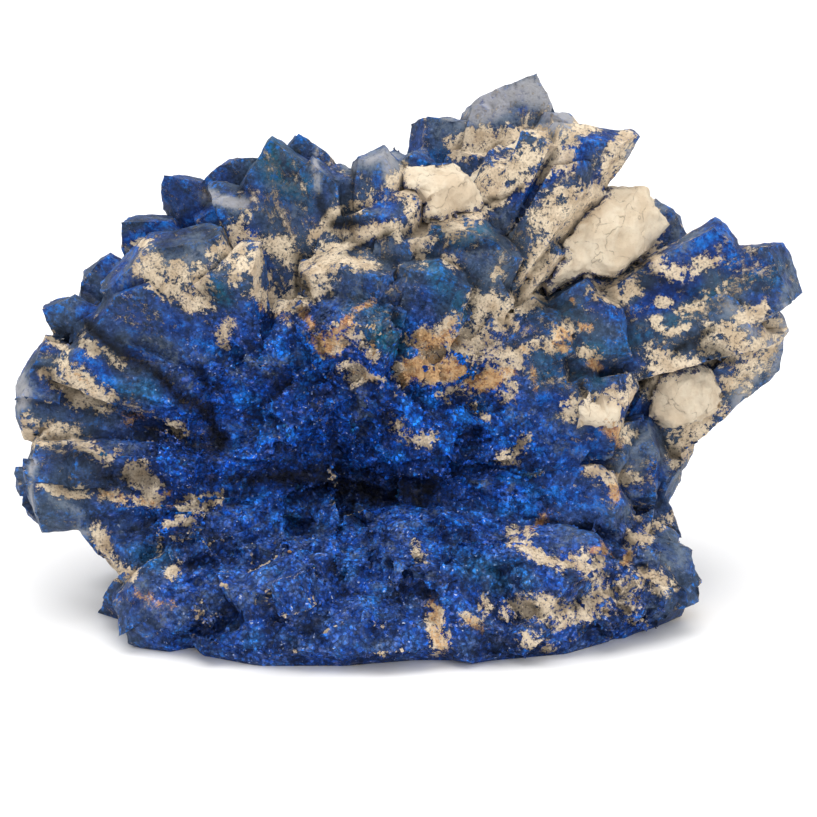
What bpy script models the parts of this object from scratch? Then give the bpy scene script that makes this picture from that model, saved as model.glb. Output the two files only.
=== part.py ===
"""Azurite rosette: a palm-sized fan of intergrown tabular crystals with clay packed in its gaps.

Blender 4.5 script, metres, +Z up, front towards -Y. Run: blender --background --python part.py

The crystals radiate from a growth centre low on the front. Below it swells a lumpy drusy foot, cut
flat underneath where the specimen rests. All the azurite is grown together, so it is one solid.
The clay lumps are separate solids that lie in the gaps between the blades.
"""

import math
import random
from dataclasses import dataclass

import bmesh
import bpy
from mathutils import Matrix, Vector, noise
from mathutils.bvhtree import BVHTree

MM = 0.001

# Driving dimensions in millimetres, in the frame that the crystals are laid out in. The finished
# specimen is then moved so that its origin is the middle of its flat underside's level.
GROWTH_CENTRE = Vector((-3.5, -4.0, 8.8))
HEART = Vector((0.0, 1.0, 9.5))
CLAY_CLEARANCE = 0.3
AZURITE_BLUE, AZURITE_ROUGHNESS = (0.012, 0.045, 0.26), 0.42
CLAY_TAN, CLAY_ROUGHNESS = (0.62, 0.47, 0.32), 0.95
REST_PLANE_Z = 0.0
BLOCK_SIZE = 80.0
BEVEL_SHARE = 0.28
SEED = 3
KEPT_SHARE = 0.75

# The back of the rosette: its tips lie on an ellipsoid with these half axes round the heart.
BACK_REACH = Vector((20.0, 14.0, 17.0))
# (elevation, number of blades, first azimuth) of each ring of blades on the back, in degrees
BACK_RINGS = ((-24, 9, 2), (-6, 10, -6), (16, 9, 6), (38, 7, 12), (62, 5, 30))

BACK_RISE_JITTER, BACK_REACH_SHARE = 6, (0.86, 1.04)
BACK_WIDTH, BACK_THICKNESS, BACK_ROOT_SHARE = (4.6, 7.4), (2.8, 4.4), 0.6
BACK_LEAN = (0.7, 0.3)

# Shorter blades that lie against every blade wider than this. Across, forward, width and thickness
# are (least, most) shares of that blade's own; the drop from its tip is in millimetres.
COMPANION_FROM_WIDTH = 4.5
COMPANION_ACROSS, COMPANION_FORWARD, COMPANION_DROP = (0.25, 0.45), (0.05, 0.35), (1.2, 3.0)
COMPANION_WIDTH, COMPANION_THICKNESS, COMPANION_ROOT_SHARE = (0.45, 0.65), (0.6, 0.9), 0.6
COMPANION_SWING = 0.18

# The fan of short blades round the growth centre: (reach, depth) of its two ranks.
FAN_ANGLES = range(10, 176, 11)
FAN_RANKS = ((6.2, -1.2), (9.4, 0.6))
FAN_REACH_SHARE, FAN_SPREAD, FAN_DEPTH_JITTER = (0.85, 1.15), 1.15, 0.5
FAN_WIDTH, FAN_THICKNESS, FAN_ROOT_SHARE = (2.2, 3.8), (1.8, 2.8), 0.7
FAN_ROOT_DEPTH = 2.5
FAN_SIDE_LEAN, FAN_UP_LEAN = (-0.3, 0.3), (0.1, 0.6)
AZIMUTH_JITTER = 5

# The stubby crystals on the foot: azimuth and elevation of the rays that find their places, and
# the line that the rays aim at.
DRUSE_COUNT = 70
DRUSE_WIDTH, DRUSE_THICKNESS = (1.3, 2.6), (0.6, 1.0)
DRUSE_AZIMUTHS, DRUSE_RISES = (-200, 20), (-4, 34)
DRUSE_TARGET_X, DRUSE_TARGET = (-11, 11), (-2.0, 2.0)
DRUSE_LEAN, DRUSE_OUTWARD = 0.35, 0.5
DRUSE_PROUD, DRUSE_ROOT = (0.35, 0.7), 1.6
RAY_START = 60

# Ends of a blade as cut planes: (direction round the axis in degrees, slope in degrees, setback
# from the tip). Direction 0 is across the width, 90 is the way that the broad face looks.
ROOF = ((90, 48, 0.1), (270, 44, 0.2))
SPEAR = ((0, 44, 0.1), (180, 45, 0.2))
SLANT_LEFT = ((0, 30, 0.8), (90, 34, 0.3))
SLANT_RIGHT = ((180, 30, 0.8), (90, 34, 0.3))
BLUNT = ((90, 24, 0.1), (20, 22, 0.3), (165, 18, 0.4))
PYRAMID = ((0, 44, 0.1), (180, 46, 0.2), (90, 30, 0.3), (270, 56, 0.15))
SHOULDERED = ((0, 70, -4.4), (180, 77, -6.5), (90, 24, 0.3), (175, 6, 0.1))
ENDS = (BLUNT, SLANT_LEFT, SLANT_RIGHT, ROOF, PYRAMID)


@dataclass(frozen=True)
class Blade:
    """One tabular crystal, which widens from its root to its tip."""

    tip: tuple
    width: float
    thickness: float
    facing: tuple
    end: tuple = BLUNT
    root: tuple = (-3.5, -1.5, 9.5)
    root_share: float = 0.6
    bevelled: bool = True


@dataclass(frozen=True)
class Lump:
    """A rounded mass of fine-grained azurite or of clay."""

    centre: tuple
    radii: tuple
    roughness: float = 0.14
    detail: int = 2
    turn: float = 0.0


# The blades on the front, from the lower left round over the crest to the lower right.
LEFT_BLADES = (
    Blade((-23.2, -4.6, 8.2), 5.8, 4.6, (0.10, -1.0, 0.15), BLUNT, (-4.0, -3.5, 8.5), 0.8),
    Blade((-23.7, -1.0, 13.6), 6.6, 4.4, (-0.25, -1.0, 0.25), BLUNT, (-4.0, -2.0, 9.0), 0.7),
    Blade((-20.9, -2.2, 16.4), 4.4, 3.6, (-0.10, -0.9, 0.45), SLANT_RIGHT, (-4.0, -2.5, 9.5), 0.9),
    Blade((-21.8, 0.6, 18.2), 2.8, 2.4, (-0.40, -1.0, 0.20), SPEAR),
    Blade((-19.6, 3.4, 19.6), 3.6, 3.0, (-0.20, -1.0, 0.30)),
    Blade((-19.0, -1.2, 18.6), 5.0, 3.2, (-0.30, -1.0, 0.20), SLANT_RIGHT, (-2.0, -1.5, 9.5), 1.0),
    Blade((-15.2, -1.0, 23.0), 8.4, 3.2, (-0.22, -1.0, 0.28), BLUNT, (-8.6, -1.5, 9.0), 0.9),
    Blade((-15.0, -7.6, 5.6), 4.6, 3.6, (-0.10, -1.0, 0.40), BLUNT, (-4.0, -4.5, 6.5), 0.8),
    Blade((-18.0, -6.6, 3.4), 4.4, 4.0, (-0.20, -1.0, 0.20), SLANT_LEFT, (-4.0, -3.5, 5.0), 0.9),
)
CREST_BLADES = (
    Blade((-16.8, 4.0, 22.8), 4.2, 3.0, (-0.30, -1.0, 0.10), SPEAR),
    Blade((-14.0, 6.0, 25.0), 3.4, 3.0, (-0.30, -1.0, 0.10), SPEAR),
    Blade((-10.4, 5.8, 26.2), 5.2, 3.4, (-0.20, -1.0, 0.20)),
    Blade((-7.7, 2.6, 28.2), 6.4, 3.2, (-0.10, -1.0, 0.20), SPEAR),
    Blade((-6.3, 4.4, 27.9), 5.0, 2.4, (0.15, -1.0, 0.20), SPEAR),
    Blade((-3.6, 2.6, 26.8), 3.4, 3.4, (0.30, -1.0, 0.10), PYRAMID),
    Blade((-0.9, 2.0, 28.1), 3.6, 3.6, (-0.60, -1.0, 0.20), PYRAMID),
    Blade((1.6, 3.2, 27.6), 3.4, 3.0, (0.10, -1.0, 0.20), PYRAMID),
    Blade((3.4, 3.4, 25.6), 3.6, 3.2, (0.30, -1.0, 0.40), ROOF),
    Blade((8.2, 12.4, 29.4), 6.6, 5.6, (0.10, -1.0, 0.30), SPEAR, (0.0, 2.0, 10.0), 0.6),
    Blade((3.4, 11.2, 27.6), 5.2, 4.6, (-0.20, -1.0, 0.20), BLUNT, (0.0, 2.0, 10.0), 0.6),
    Blade((8.8, 9.2, 27.2), 4.4, 3.6, (0.10, -1.0, 0.40), ROOF, (0.0, 2.0, 10.0), 0.6),
)
MIDDLE_BLADES = (
    Blade((-1.0, 0.2, 25.6), 5.2, 3.4, (-0.35, -1.0, 0.10), SLANT_LEFT, (-2.5, 0.0, 11.0), 0.9),
    Blade((-3.2, -2.4, 22.6), 6.0, 3.2, (-0.20, -1.0, 0.25), BLUNT, (-2.5, -0.5, 11.0), 0.8),
    Blade((-3.6, -4.4, 20.0), 6.4, 3.4, (-0.15, -1.0, 0.20), BLUNT, (-2.5, -1.5, 11.0), 0.8),
    Blade((5.2, -0.8, 24.0), 6.4, 3.4, (0.05, -1.0, 0.20), BLUNT, (0.0, -0.5, 11.0), 0.8),
    Blade((2.6, -2.6, 22.2), 5.0, 3.2, (-0.10, -1.0, 0.15), BLUNT, (-0.5, -1.5, 11.0), 0.8),
    Blade((-8.6, -2.8, 17.8), 5.6, 2.8, (-0.10, -1.0, 0.30), SLANT_LEFT, (-3.5, -2.0, 9.5), 0.7),
)
RIGHT_BLADES = (
    Blade((12.4, 3.1, 29.3), 4.6, 4.4, (-0.55, -1.0, 0.25), SLANT_LEFT, (1.0, 0.0, 11.0), 0.8),
    Blade((8.6, 2.4, 26.2), 6.6, 3.0, (-0.25, -1.0, 0.45), SLANT_RIGHT, (0.5, 0.0, 11.0), 0.8),
    Blade((15.6, 7.4, 22.3), 4.0, 3.6, (0.20, -1.0, 0.20)),
    Blade((17.6, 7.4, 22.0), 4.0, 3.6, (0.20, -1.0, 0.20)),
    Blade((24.2, 1.8, 20.1), 6.6, 4.4, (0.25, -1.0, 0.35), SHOULDERED, (0.0, -1.0, 11.0), 0.8),
    Blade((17.0, 2.2, 19.2), 5.6, 4.0, (0.25, -1.0, 0.35), SLANT_LEFT, (0.5, -0.5, 10.6), 0.9),
    Blade((22.4, 4.2, 18.6), 6.5, 4.6, (0.40, -1.0, -0.10), BLUNT, (9.0, 0.5, 2.5), 0.8),
    Blade((14.0, -0.8, 18.4), 6.0, 4.0, (0.15, -1.0, 0.25), BLUNT, (1.0, -1.0, 11.0), 0.9),
    Blade((10.6, -1.6, 18.0), 5.0, 3.6, (0.00, -1.0, 0.20), BLUNT, (0.5, -1.5, 10.5), 0.9),
    Blade((14.6, -3.0, 12.4), 5.0, 3.4, (0.10, -1.0, 0.25), SLANT_RIGHT, (0.0, -2.0, 9.5), 0.8),
    Blade((16.8, -1.0, 8.4), 6.0, 5.0, (0.35, -1.0, 0.10), BLUNT, (0.0, -0.5, 8.0), 0.8),
    Blade((17.0, -0.4, 3.2), 5.4, 5.0, (0.45, -1.0, 0.00), BLUNT, (0.0, -0.5, 6.0), 0.8),
    Blade((14.8, -5.0, 6.8), 4.6, 4.0, (0.10, -1.0, 0.30), SLANT_LEFT, (0.0, -3.0, 7.5), 0.8),
    Blade((14.6, -7.4, 2.6), 4.6, 4.0, (0.15, -1.0, 0.25), BLUNT, (1.0, -4.0, 4.5), 0.8),
)

# The fine-grained body that the blades stand on, and the swelling drusy foot.
BODY = Lump((-0.5, 4.0, 8.6), (14.5, 8.0, 9.5), 0.10, 3)
SWELLINGS = (
    Lump((1.5, 4.0, 14.0), (11.5, 7.5, 9.0)),
    Lump((-1.0, -5.8, 1.4), (15.6, 8.2, 5.8), 0.16, 3),
    Lump((1.0, 4.0, 2.4), (14.0, 8.0, 6.0)),
    Lump((-6.6, -10.6, 2.8), (4.6, 3.6, 3.6), 0.2),
    Lump((2.4, -10.6, 2.6), (5.0, 3.8, 3.4), 0.2),
    Lump((8.8, -8.8, 3.2), (4.8, 4.4, 3.8), 0.2),
    Lump((-12.6, -8.2, 2.4), (4.6, 4.2, 3.6), 0.2),
    Lump((12.8, -5.6, 2.4), (4.8, 4.8, 4.0), 0.2),
)

# The slit at the growth centre, between the fan and the foot.
HOLLOW = Lump((-3.6, -8.2, 8.0), (4.8, 3.6, 1.1), 0.3, 2, -6)

CLAY_LUMPS = {
    "clay_fill_centre": Lump((2.0, 1.8, 24.2), (3.4, 2.4, 2.2), turn=25),
    "clay_fill_right": Lump((11.4, 1.8, 21.5), (4.8, 2.6, 2.5), turn=-33),
    "clay_fill_crest": Lump((7.8, 6.4, 23.6), (4.2, 3.6, 3.0)),
    "clay_fill_lower_right": Lump((17.0, 1.0, 12.6), (2.5, 1.7, 2.4)),
    "clay_lump_pale": Lump((12.0, -4.0, 13.0), (1.5, 1.2, 1.0), 0.2),
}


def clear_scene():
    """Removes every object, so that the file runs from any Blender scene."""
    for obj in list(bpy.data.objects):
        bpy.data.objects.remove(obj)


def make_collection(name):
    """A new collection in the scene."""
    made = bpy.data.collections.new(name)
    bpy.context.scene.collection.children.link(made)
    return made


def make_material(name, colour, roughness):
    """A plain Principled material."""
    material = bpy.data.materials.new(name)
    material.use_nodes = True
    shader = material.node_tree.nodes["Principled BSDF"]
    shader.inputs["Base Color"].default_value = (*colour, 1.0)
    shader.inputs["Roughness"].default_value = roughness
    return material


def mesh_object(name, shape, collection):
    """A new object from a bmesh in millimetres, its vertices in metres."""
    bmesh.ops.scale(shape, vec=Vector((MM, MM, MM)), verts=shape.verts)
    mesh = bpy.data.meshes.new(name)
    shape.to_mesh(mesh)
    shape.free()
    obj = bpy.data.objects.new(name, mesh)
    collection.objects.link(obj)
    return obj


def blade_frame(blade):
    """The matrix whose axes are the width, the way that the broad face looks, and the length."""
    along = (Vector(blade.tip) - Vector(blade.root)).normalized()
    facing = Vector(blade.facing)
    facing = (facing - along * facing.dot(along)).normalized()
    axes = Matrix((facing.cross(along), facing, along)).transposed().to_4x4()
    return Matrix.Translation(Vector(blade.root)) @ axes


def cut_off(shape, point, normal):
    """Cuts away what lies beyond a plane and closes the cut."""
    whole = shape.verts[:] + shape.edges[:] + shape.faces[:]
    bmesh.ops.bisect_plane(shape, geom=whole, plane_co=point, plane_no=normal, clear_outer=True)
    bmesh.ops.holes_fill(shape, edges=[edge for edge in shape.edges if edge.is_boundary])


def blade_shape(blade, grow=0.0):
    """A blade as a bmesh: a bar that tapers to its root, with bevelled long edges and a cut end."""
    tip_height = (Vector(blade.tip) - Vector(blade.root)).length
    length = tip_height + grow
    width, thickness = blade.width + 2 * grow, blade.thickness + 2 * grow
    shape = bmesh.new()
    bmesh.ops.create_cube(shape, size=1.0)
    for vert in shape.verts:
        share = blade.root_share if vert.co.z < 0 else 1.0
        vert.co.x *= width * share
        vert.co.y *= thickness * share
        vert.co.z = (vert.co.z + 0.5) * length
    if blade.bevelled:
        long_edges = [e for e in shape.edges if abs(e.verts[0].co.z - e.verts[1].co.z) > length / 2]
        offset = BEVEL_SHARE * blade.thickness
        bmesh.ops.bevel(shape, geom=long_edges, offset=offset, segments=1, affect="EDGES")
    for direction, slope, setback in blade.end:
        way, tilt = math.radians(direction), math.radians(slope)
        level = math.sin(tilt)
        normal = Vector((math.cos(way) * level, math.sin(way) * level, math.cos(tilt)))
        cut_off(shape, Vector((0, 0, tip_height - setback)) + normal * grow, normal)
    shape.transform(blade_frame(blade))
    bmesh.ops.triangulate(shape, faces=shape.faces)
    return shape


def lump_shape(lump, grow=0.0):
    """A lump as a bmesh: a ball drawn out to its radii and roughened by smooth noise."""
    shape = bmesh.new()
    bmesh.ops.create_icosphere(shape, subdivisions=lump.detail, radius=1.0)
    centre = Vector(lump.centre)
    turn = Matrix.Rotation(math.radians(lump.turn), 3, "Y")
    for vert in shape.verts:
        way = vert.co.normalized()
        swell = 1.0 + 2.0 * lump.roughness * noise.noise(way * 2.0 + centre)
        reach = [way[axis] * (lump.radii[axis] * swell + grow) for axis in range(3)]
        vert.co = centre + turn @ Vector(reach)
    return shape


def companions(blade, rng):
    """Shorter, slightly turned blades that lie against a blade and give it its ledges."""
    turn = blade_frame(blade).to_3x3()
    made = []
    for side in (-1, 1):
        across = side * blade.width * rng.uniform(*COMPANION_ACROSS)
        forward = blade.thickness * rng.uniform(*COMPANION_FORWARD)
        shift = turn @ Vector((across, forward, -rng.uniform(*COMPANION_DROP)))
        swing = Vector([rng.uniform(-COMPANION_SWING, COMPANION_SWING) for _ in range(3)])
        width = blade.width * rng.uniform(*COMPANION_WIDTH)
        thickness = blade.thickness * rng.uniform(*COMPANION_THICKNESS)
        facing = tuple(Vector(blade.facing) + swing)
        end = rng.choice((BLUNT, SLANT_LEFT, SLANT_RIGHT, SPEAR))
        tip = tuple(Vector(blade.tip) + shift)
        root = tuple(Vector(blade.root) + swing)
        made.append(Blade(tip, width, thickness, facing, end, root, COMPANION_ROOT_SHARE, False))
    return made


def fan_blades(rng):
    """The short blades that radiate over the front from the growth centre, in two ranks."""
    root = tuple(GROWTH_CENTRE + Vector((0.0, FAN_ROOT_DEPTH, 0.0)))
    made = []
    for angle in FAN_ANGLES:
        for reach, depth in FAN_RANKS:
            way = math.radians(angle + rng.uniform(-AZIMUTH_JITTER, AZIMUTH_JITTER))
            out = reach * rng.uniform(*FAN_REACH_SHARE)
            back = depth + rng.uniform(-FAN_DEPTH_JITTER, FAN_DEPTH_JITTER)
            step = Vector((FAN_SPREAD * out * math.cos(way), back, out * math.sin(way)))
            tip = tuple(GROWTH_CENTRE + step)
            facing = (rng.uniform(*FAN_SIDE_LEAN), -1.0, rng.uniform(*FAN_UP_LEAN))
            width, thickness = rng.uniform(*FAN_WIDTH), rng.uniform(*FAN_THICKNESS)
            end = rng.choice(ENDS)
            made.append(Blade(tip, width, thickness, facing, end, root, FAN_ROOT_SHARE, False))
    return made


def direction(azimuth, elevation):
    """The unit vector at an azimuth from +X and an elevation, both in radians."""
    level = math.cos(elevation)
    return Vector((math.cos(azimuth) * level, math.sin(azimuth) * level, math.sin(elevation)))


def back_blades(rng):
    """The blades on the back and the sides, which radiate in rings from the heart."""
    made = []
    side_lean, depth_lean = BACK_LEAN
    for elevation, count, start in BACK_RINGS:
        for step in range(count):
            turn = start + (180 - 2 * start) * step / (count - 1)
            azimuth = math.radians(turn + rng.uniform(-AZIMUTH_JITTER, AZIMUTH_JITTER))
            rise = math.radians(elevation + rng.uniform(-BACK_RISE_JITTER, BACK_RISE_JITTER))
            way = direction(azimuth, rise)
            reach = rng.uniform(*BACK_REACH_SHARE)
            tip = HEART + Vector([way[axis] * BACK_REACH[axis] * reach for axis in range(3)])
            lean = Vector((rng.uniform(-side_lean, side_lean), rng.uniform(-depth_lean, depth_lean), 1))
            facing = way.cross(lean)
            if rng.random() < 0.5:
                facing = way.cross(facing)
            width, thickness = rng.uniform(*BACK_WIDTH), rng.uniform(*BACK_THICKNESS)
            end = rng.choice(ENDS)
            root = tuple(HEART)
            made.append(Blade(tuple(tip), width, thickness, tuple(facing), end, root, BACK_ROOT_SHARE))
    return made


def druse_blades(surface, rng):
    """Stubby crystals that stand on the foot, pointing away from the growth centre."""
    tree = BVHTree.FromObject(surface, bpy.context.evaluated_depsgraph_get())
    made = []
    while len(made) < DRUSE_COUNT:
        azimuth = math.radians(rng.uniform(*DRUSE_AZIMUTHS))
        way = direction(azimuth, math.radians(rng.uniform(*DRUSE_RISES)))
        target = Vector((rng.uniform(*DRUSE_TARGET_X), *DRUSE_TARGET))
        spot, normal, _, _ = tree.ray_cast((target + way * RAY_START) * MM, -way)
        if spot is None:
            continue
        spot = spot / MM
        width = rng.uniform(*DRUSE_WIDTH)
        lean = Vector([rng.uniform(-DRUSE_LEAN, DRUSE_LEAN) for _ in range(3)])
        along = normal + DRUSE_OUTWARD * (spot - GROWTH_CENTRE).normalized() + lean
        along.normalize()
        facing = tuple(rng.uniform(-1, 1) for _ in range(3))
        tip = spot + along * width * rng.uniform(*DRUSE_PROUD)
        root = tuple(tip - along * (width + DRUSE_ROOT))
        thickness = width * rng.uniform(*DRUSE_THICKNESS)
        made.append(Blade(tuple(tip), width, thickness, facing, rng.choice(ENDS), root, 1.0, False))
    return made


def apply_boolean(obj, operation, shapes):
    """Joins closed shapes to a solid, or cuts them away. With this many blades at one root the
    EXACT solver drops solids, and MANIFOLD doesn't."""
    tools = make_collection("tools")
    for shape in shapes:
        mesh_object("tool", shape, tools)
    step = obj.modifiers.new("step", "BOOLEAN")
    step.operation, step.solver = operation, "MANIFOLD"
    step.operand_type, step.collection = "COLLECTION", tools
    bpy.context.view_layer.update()
    result = bpy.data.meshes.new_from_object(obj.evaluated_get(bpy.context.evaluated_depsgraph_get()))
    obj.modifiers.clear()
    obj.data = result
    for tool in list(tools.objects):
        bpy.data.objects.remove(tool)
    bpy.data.collections.remove(tools)


def azurite_shapes(blades, grow=0.0):
    """The swellings and the blades, all grown by the same margin."""
    return [lump_shape(lump, grow) for lump in SWELLINGS] + [blade_shape(blade, grow) for blade in blades]


def keep_largest(obj):
    """Deletes the crumbs that a cut leaves, so that one closed body is left."""
    shape = bmesh.new()
    shape.from_mesh(obj.data)
    left, islands = set(shape.faces), []
    while left:
        island, front = set(), [left.pop()]
        while front:
            face = front.pop()
            island.add(face)
            for edge in face.edges:
                near = [f for f in edge.link_faces if f in left]
                left.difference_update(near)
                front += near
        islands.append(island)
    islands.sort(key=lambda island: sum(face.calc_area() for face in island))
    crumbs = [face for island in islands[:-1] for face in island]
    bmesh.ops.delete(shape, geom=crumbs, context="FACES")
    shape.to_mesh(obj.data)
    shape.free()


def merge_flat_faces(obj):
    """Collapses the slivers and the needless points on flat faces that the cuts leave."""
    thin = obj.modifiers.new("thin", "DECIMATE")
    thin.ratio = KEPT_SHARE
    bpy.context.view_layer.update()
    obj.data = bpy.data.meshes.new_from_object(obj.evaluated_get(bpy.context.evaluated_depsgraph_get()))
    obj.modifiers.clear()


def floor_block():
    """A block under the rest plane, which cuts the underside flat."""
    shape = bmesh.new()
    bmesh.ops.create_cube(shape, size=BLOCK_SIZE)
    bmesh.ops.translate(shape, vec=Vector((0, 0, REST_PLANE_Z - BLOCK_SIZE / 2)), verts=shape.verts)
    return shape


def centre_on_base(objects):
    """Moves the specimen so that the origin is at the middle of its box, on the rest plane."""
    corners = [vert.co for obj in objects for vert in obj.data.vertices]
    low = Vector([min(co[axis] for co in corners) for axis in range(3)])
    high = Vector([max(co[axis] for co in corners) for axis in range(3)])
    shift = Vector((-(low.x + high.x) / 2, -(low.y + high.y) / 2, -low.z))
    for obj in objects:
        obj.data.transform(Matrix.Translation(shift))


def front_blades(rng):
    """Every blade of the front with its companions, and the fan round the growth centre."""
    made = []
    for blade in LEFT_BLADES + CREST_BLADES + MIDDLE_BLADES + RIGHT_BLADES:
        made.append(blade)
        if blade.width > COMPANION_FROM_WIDTH:
            made += companions(blade, rng)
    return made + fan_blades(rng)


def finish_solid(obj, material):
    """Leaves one closed body with clean flat faces and its material."""
    keep_largest(obj)
    merge_flat_faces(obj)
    obj.data.materials.clear()
    obj.data.materials.append(material)


def make_rosette(specimen, rng):
    """The azurite, with its slit and its flat underside, and the blades that it is made of."""
    rosette = mesh_object("azurite_rosette", lump_shape(BODY), specimen)
    blades = front_blades(rng) + back_blades(rng)
    apply_boolean(rosette, "UNION", azurite_shapes(blades))
    druse = druse_blades(rosette, rng)
    apply_boolean(rosette, "UNION", [blade_shape(blade) for blade in druse])
    apply_boolean(rosette, "DIFFERENCE", [lump_shape(HOLLOW), floor_block()])
    finish_solid(rosette, make_material("azurite", AZURITE_BLUE, AZURITE_ROUGHNESS))
    return rosette, blades + druse


def make_clay(specimen, blades):
    """The clay lumps, each cut clear of the azurite."""
    clay = make_material("clay", CLAY_TAN, CLAY_ROUGHNESS)
    fills = []
    for name, lump in CLAY_LUMPS.items():
        fill = mesh_object(name, lump_shape(lump), specimen)
        grown = [lump_shape(BODY, CLAY_CLEARANCE), *azurite_shapes(blades, CLAY_CLEARANCE)]
        apply_boolean(fill, "DIFFERENCE", grown)
        finish_solid(fill, clay)
        fills.append(fill)
    return fills


def main():
    """Builds the specimen."""
    clear_scene()
    specimen = make_collection("azurite_specimen")
    rosette, blades = make_rosette(specimen, random.Random(SEED))
    centre_on_base([rosette, *make_clay(specimen, blades)])


main()
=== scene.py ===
"""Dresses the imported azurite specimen: blue blades, a grainy druse, dusty clay and iron stains."""

from __future__ import annotations

import logging
import math
from dataclasses import dataclass, field
from enum import Enum
from typing import Sequence

import bpy
import numpy as np
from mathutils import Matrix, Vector


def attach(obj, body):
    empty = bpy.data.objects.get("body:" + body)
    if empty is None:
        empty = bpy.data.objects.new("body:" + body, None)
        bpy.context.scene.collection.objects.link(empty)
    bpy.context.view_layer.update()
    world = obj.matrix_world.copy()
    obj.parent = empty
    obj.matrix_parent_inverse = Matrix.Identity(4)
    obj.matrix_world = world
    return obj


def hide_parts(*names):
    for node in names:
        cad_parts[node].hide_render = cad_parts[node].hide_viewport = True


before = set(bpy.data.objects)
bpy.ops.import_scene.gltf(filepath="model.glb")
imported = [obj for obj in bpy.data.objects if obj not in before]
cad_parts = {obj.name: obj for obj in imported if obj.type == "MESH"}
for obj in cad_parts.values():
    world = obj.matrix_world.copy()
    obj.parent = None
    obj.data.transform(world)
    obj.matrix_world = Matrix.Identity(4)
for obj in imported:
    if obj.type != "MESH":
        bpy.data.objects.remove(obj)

LOG = logging.getLogger("azurite")
BODY = "root"
MM = 0.001

# Values that a piece keeps for each point, beside its stains.
HOLLOW = "hollow"
MARGIN = "margin"
DRUSY = "drusy"

# Where the blades start, in millimetres, and how noise runs out in rays from there.
GROWTH_CENTRE = (-3.95, -1.2, 9.0)
RAY_SPREAD = 13.0
RAY_DRIFT = (0.12, 0.085, 0.05)

# Numbers that stir the noise: its offset, a shift for each seed, and primes.
NOISE_OFFSET = 1000.0
SEED_SHIFT = 17.31
CELL_PRIMES = (73856093, 19349663, 83492791)
SEED_PRIME = 2654435761
STIR_PRIME = 1274126177
LAYER_FADE = 0.55

# The shortest line that counts, how near points merge in metres, and a vertex group's steps.
SHORTEST = 1e-9
MERGE = 1e-6
GROUP_STEPS = 20

Point = tuple[float, float]
Row = tuple[float, ...]
Place = tuple[float, float, float]
Colour = tuple[float, float, float]


class StainAndLight(Enum):
    """What lies on the crystal, how it is tinted, and where painted shade and painted sheen go; each
    is one painted attribute.
    """

    CLAY = "clay"
    IRON = "iron"
    GLOOM = "gloom"
    BRIGHT = "bright"
    FILM = "film"
    DUST = "dust"
    TEAL = "teal"


class Slot(Enum):
    """The record's material slots."""

    AZURITE = "azurite"
    CLAY = "clay"


@dataclass(frozen=True)
class Daub:
    """One brushed patch on the front: a path across and up, a width and a strength."""

    stain: StainAndLight
    path: tuple[Point, ...]
    width: float
    strength: float

    @classmethod
    def read(cls, stain: StainAndLight, row: Row) -> Daub:
        """Reads a daub from its row: a width, a strength, and then its path's places."""
        width, strength, *places = row
        return cls(stain, tuple(zip(places[::2], places[1::2])), width, strength)


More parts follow.
